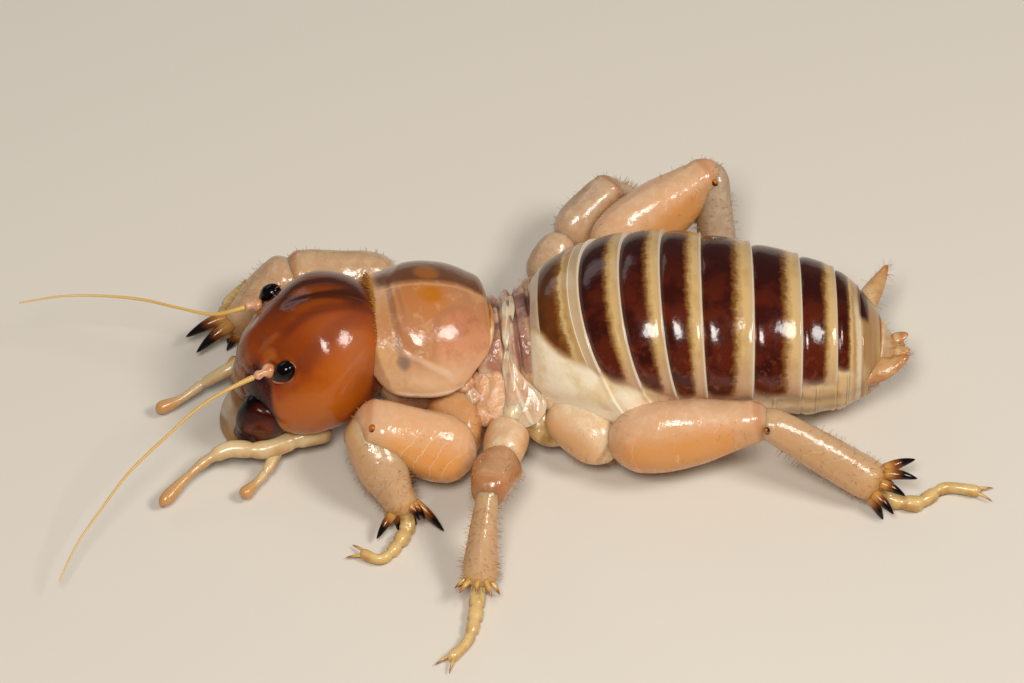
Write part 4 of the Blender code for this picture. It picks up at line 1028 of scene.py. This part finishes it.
# The far hind shin's skin is darkened as painted shade.
build_leg("hind_right", [(1.95, 1.9, 1.5), (2.2, 3.1, 1.65), (2.95, 4, 1.95), (7.2, 6.15, 4.35),
    (7.55, 3.75, 0.85), [(7.6, 3.7, 0.42), (8.6, 4.1, 0.3), (9.7, 4.3, 0.27), (10.9, 4, 0.26)]], HIND,
    [(0.3 + 2 * math.pi * k / 6, 0.45, 1) for k in range(6)], (0.85, 0.21),
    (peach, blush, shaded_shin, spur_paint))

# Hairs
# Fine golden bristles: a dense fringe along the front edge of the saddle, rows on the legs, and a
# thin coat on the flanks, tail and cerci. Each is a three-sided spike sunk in the skin.

hair_paint, wire = new_paint("hair_paint", Roughness=0.3)
s = wire.place()[0]
wire.colours((206, 150, 70), (122, 70, 26, s.rise(0.2, 0.9)))
dark_hair_paint, wire = new_paint("dark_hair_paint", Roughness=0.3)
s = wire.place()[0]
wire.colours((96, 58, 30), (38, 22, 14, s.rise(0.1, 0.6)))
dice = np.random.default_rng(7)
# How much of the skin's own way a hair keeps, how far it strays, how deep it starts, and how far
# its tip hangs.
UPRIGHT, STRAY, SUNK, DROOP = 0.8, 0.22, 0.05, 0.1
# Each vertex of a spike: its share of length, of thickness, and its turn about the spike.
SPIKE = np.array(((0, 1, 0), (0, 1, 2.1), (0, 1, 4.2), (0.5, 0.7, 0), (0.5, 0.7, 2.1), (0.5, 0.7, 4.2),
    (1, 0, 0)))
SPIKE_FACES = ((2, 1, 0), (0, 1, 4, 3), (3, 4, 6), (1, 2, 5, 4), (4, 5, 6), (2, 0, 3, 5), (5, 3, 6))


def bristles(name, skin, count, length, thick, keep, lean=(0, 0, 0),
        paint=hair_paint):
    """Spikes on the vertices of a skin that the test keeps, each out from the skin and leaning.

    The test gets each vertex's place, what the skin stores there, and the way out of the skin.
    """
    mesh = bpy.data.objects[skin].data
    spots = vertices_of(mesh) / MM - HOME
    out = np.array([v.normal for v in mesh.vertices])
    stored = np.empty(len(spots) * 3)
    mesh.attributes["place"].data.foreach_get("vector", stored)
    good = np.flatnonzero(keep(spots, stored.reshape(-1, 3), out))
    picks = dice.choice(good, min(count, len(good)), replace=False)
    way = one_long(out[picks] * UPRIGHT + np.array(lean) + dice.normal(0, STRAY, (len(picks), 3)))
    reach = length * dice.uniform(0.6, 1.15, len(picks))
    aside = one_long(np.cross(way, (0.3, 0.5, 0.81)))
    other = np.cross(way, aside)
    start = spots[picks] - way * SUNK
    share, wide, turn = SPIKE[:, :1], SPIKE[:, 1:2], SPIKE[:, 2:]
    verts = (start[:, None] + way[:, None] * reach[:, None, None] * share
        + (aside[:, None] * np.cos(turn) + other[:, None] * np.sin(turn)) * thick * wide)
    verts[:, -1, 2] -= DROOP * reach
    verts = verts.reshape(-1, 3)
    place = np.tile(share * (1, 0, 0), (len(picks), 1))
    starts = range(0, len(verts), len(SPIKE))
    faces = [[first + corner for corner in face] for first in starts for face in SPIKE_FACES]
    mesh = bpy.data.meshes.new(name)
    mesh.from_pydata(verts.tolist(), [], faces)
    settle(new_object(name, mesh), verts, place, paint, None)


bristles("saddle_front_hairs", "shield", 460, 0.34, 0.018,
    lambda p, q, n: (q[:, 0] < 0.075) & (q[:, 0] > 0.02) & (q[:, 2] > 0) & (q[:, 1] < 0.66),
    (-0.7, -0.2, 0.5))
for leg in ("front_left", "mid_left", "hind_left", "front_right", "mid_right", "hind_right"):
    bristles(leg + "_hip_hairs", leg + "_hip_skin", 60, 0.3, 0.012,
        lambda p, q, n: (p[:, 2] > 0.7) & (q[:, 0] > 0.35))
    bristles(leg + "_thigh_hairs", leg + "_thigh_skin", 200, 0.24, 0.011,
        lambda p, q, n: (np.abs(q[:, 1]) > 0.45) | (q[:, 0] < 0.2))
    bristles(leg + "_shin_hairs", leg + "_shin_skin", 260, 0.32, 0.012, lambda p, q, n: q[:, 0] > 0.25)
# A dark comb stands between the near front thigh and its shin.
bristles("front_left_comb", "front_left_shin_skin", 90, 0.3, 0.016,
    lambda p, q, n: (q[:, 0] > 0.12) & (q[:, 0] < 0.8) & (n @ (0.84, 0.44, -0.05) > 0.75), (0.4, 0, 0.4),
    paint=dark_hair_paint)
bristles("tail_hairs", "tail_cone", 70, 0.35, 0.008,
    lambda p, q, n: q[:, 0] > 0.2, (0.5, 0, 0))
for label in ("left", "right"):
    bristles("cercus_hairs_" + label, "cercus_skin_" + label, 60, 0.4, 0.008,
        lambda p, q, n: q[:, 0] > 0.1, (0.4, 0, 0))
bristles("abdomen_hairs", "abdomen_skin", 220, 0.22, 0.008,
    lambda p, q, n: (q[:, 1] > 0.42) & (p[:, 0] > 8) & (p[:, 2] > 0.8), (0.8, 0, 0))

# Camera
# It looks straight across the animal from its left and steeply from above, as in the photo, and
# its lens gives the photo's scale at the animal.

CAMERA_RISE = math.radians(50)
CAMERA_FAR = 0.2
PIXEL, PHOTO_WIDTH, SENSOR = 0.0355 * MM, 1024, 36
target = Vector((0, 0, 2.22)) * MM + Vector(HOME) * MM
lens = bpy.data.cameras.new("camera")
camera = new_object("camera", lens)
camera.location = target + Vector((0, -math.cos(CAMERA_RISE), math.sin(CAMERA_RISE))) * CAMERA_FAR
camera.rotation_euler = (math.pi / 2 - CAMERA_RISE, 0, 0)
lens.sensor_width = SENSOR
lens.lens = SENSOR * CAMERA_FAR / (PHOTO_WIDTH * PIXEL)
lens.clip_start = 0.005
lens.clip_end = 5
bpy.context.scene.camera = camera
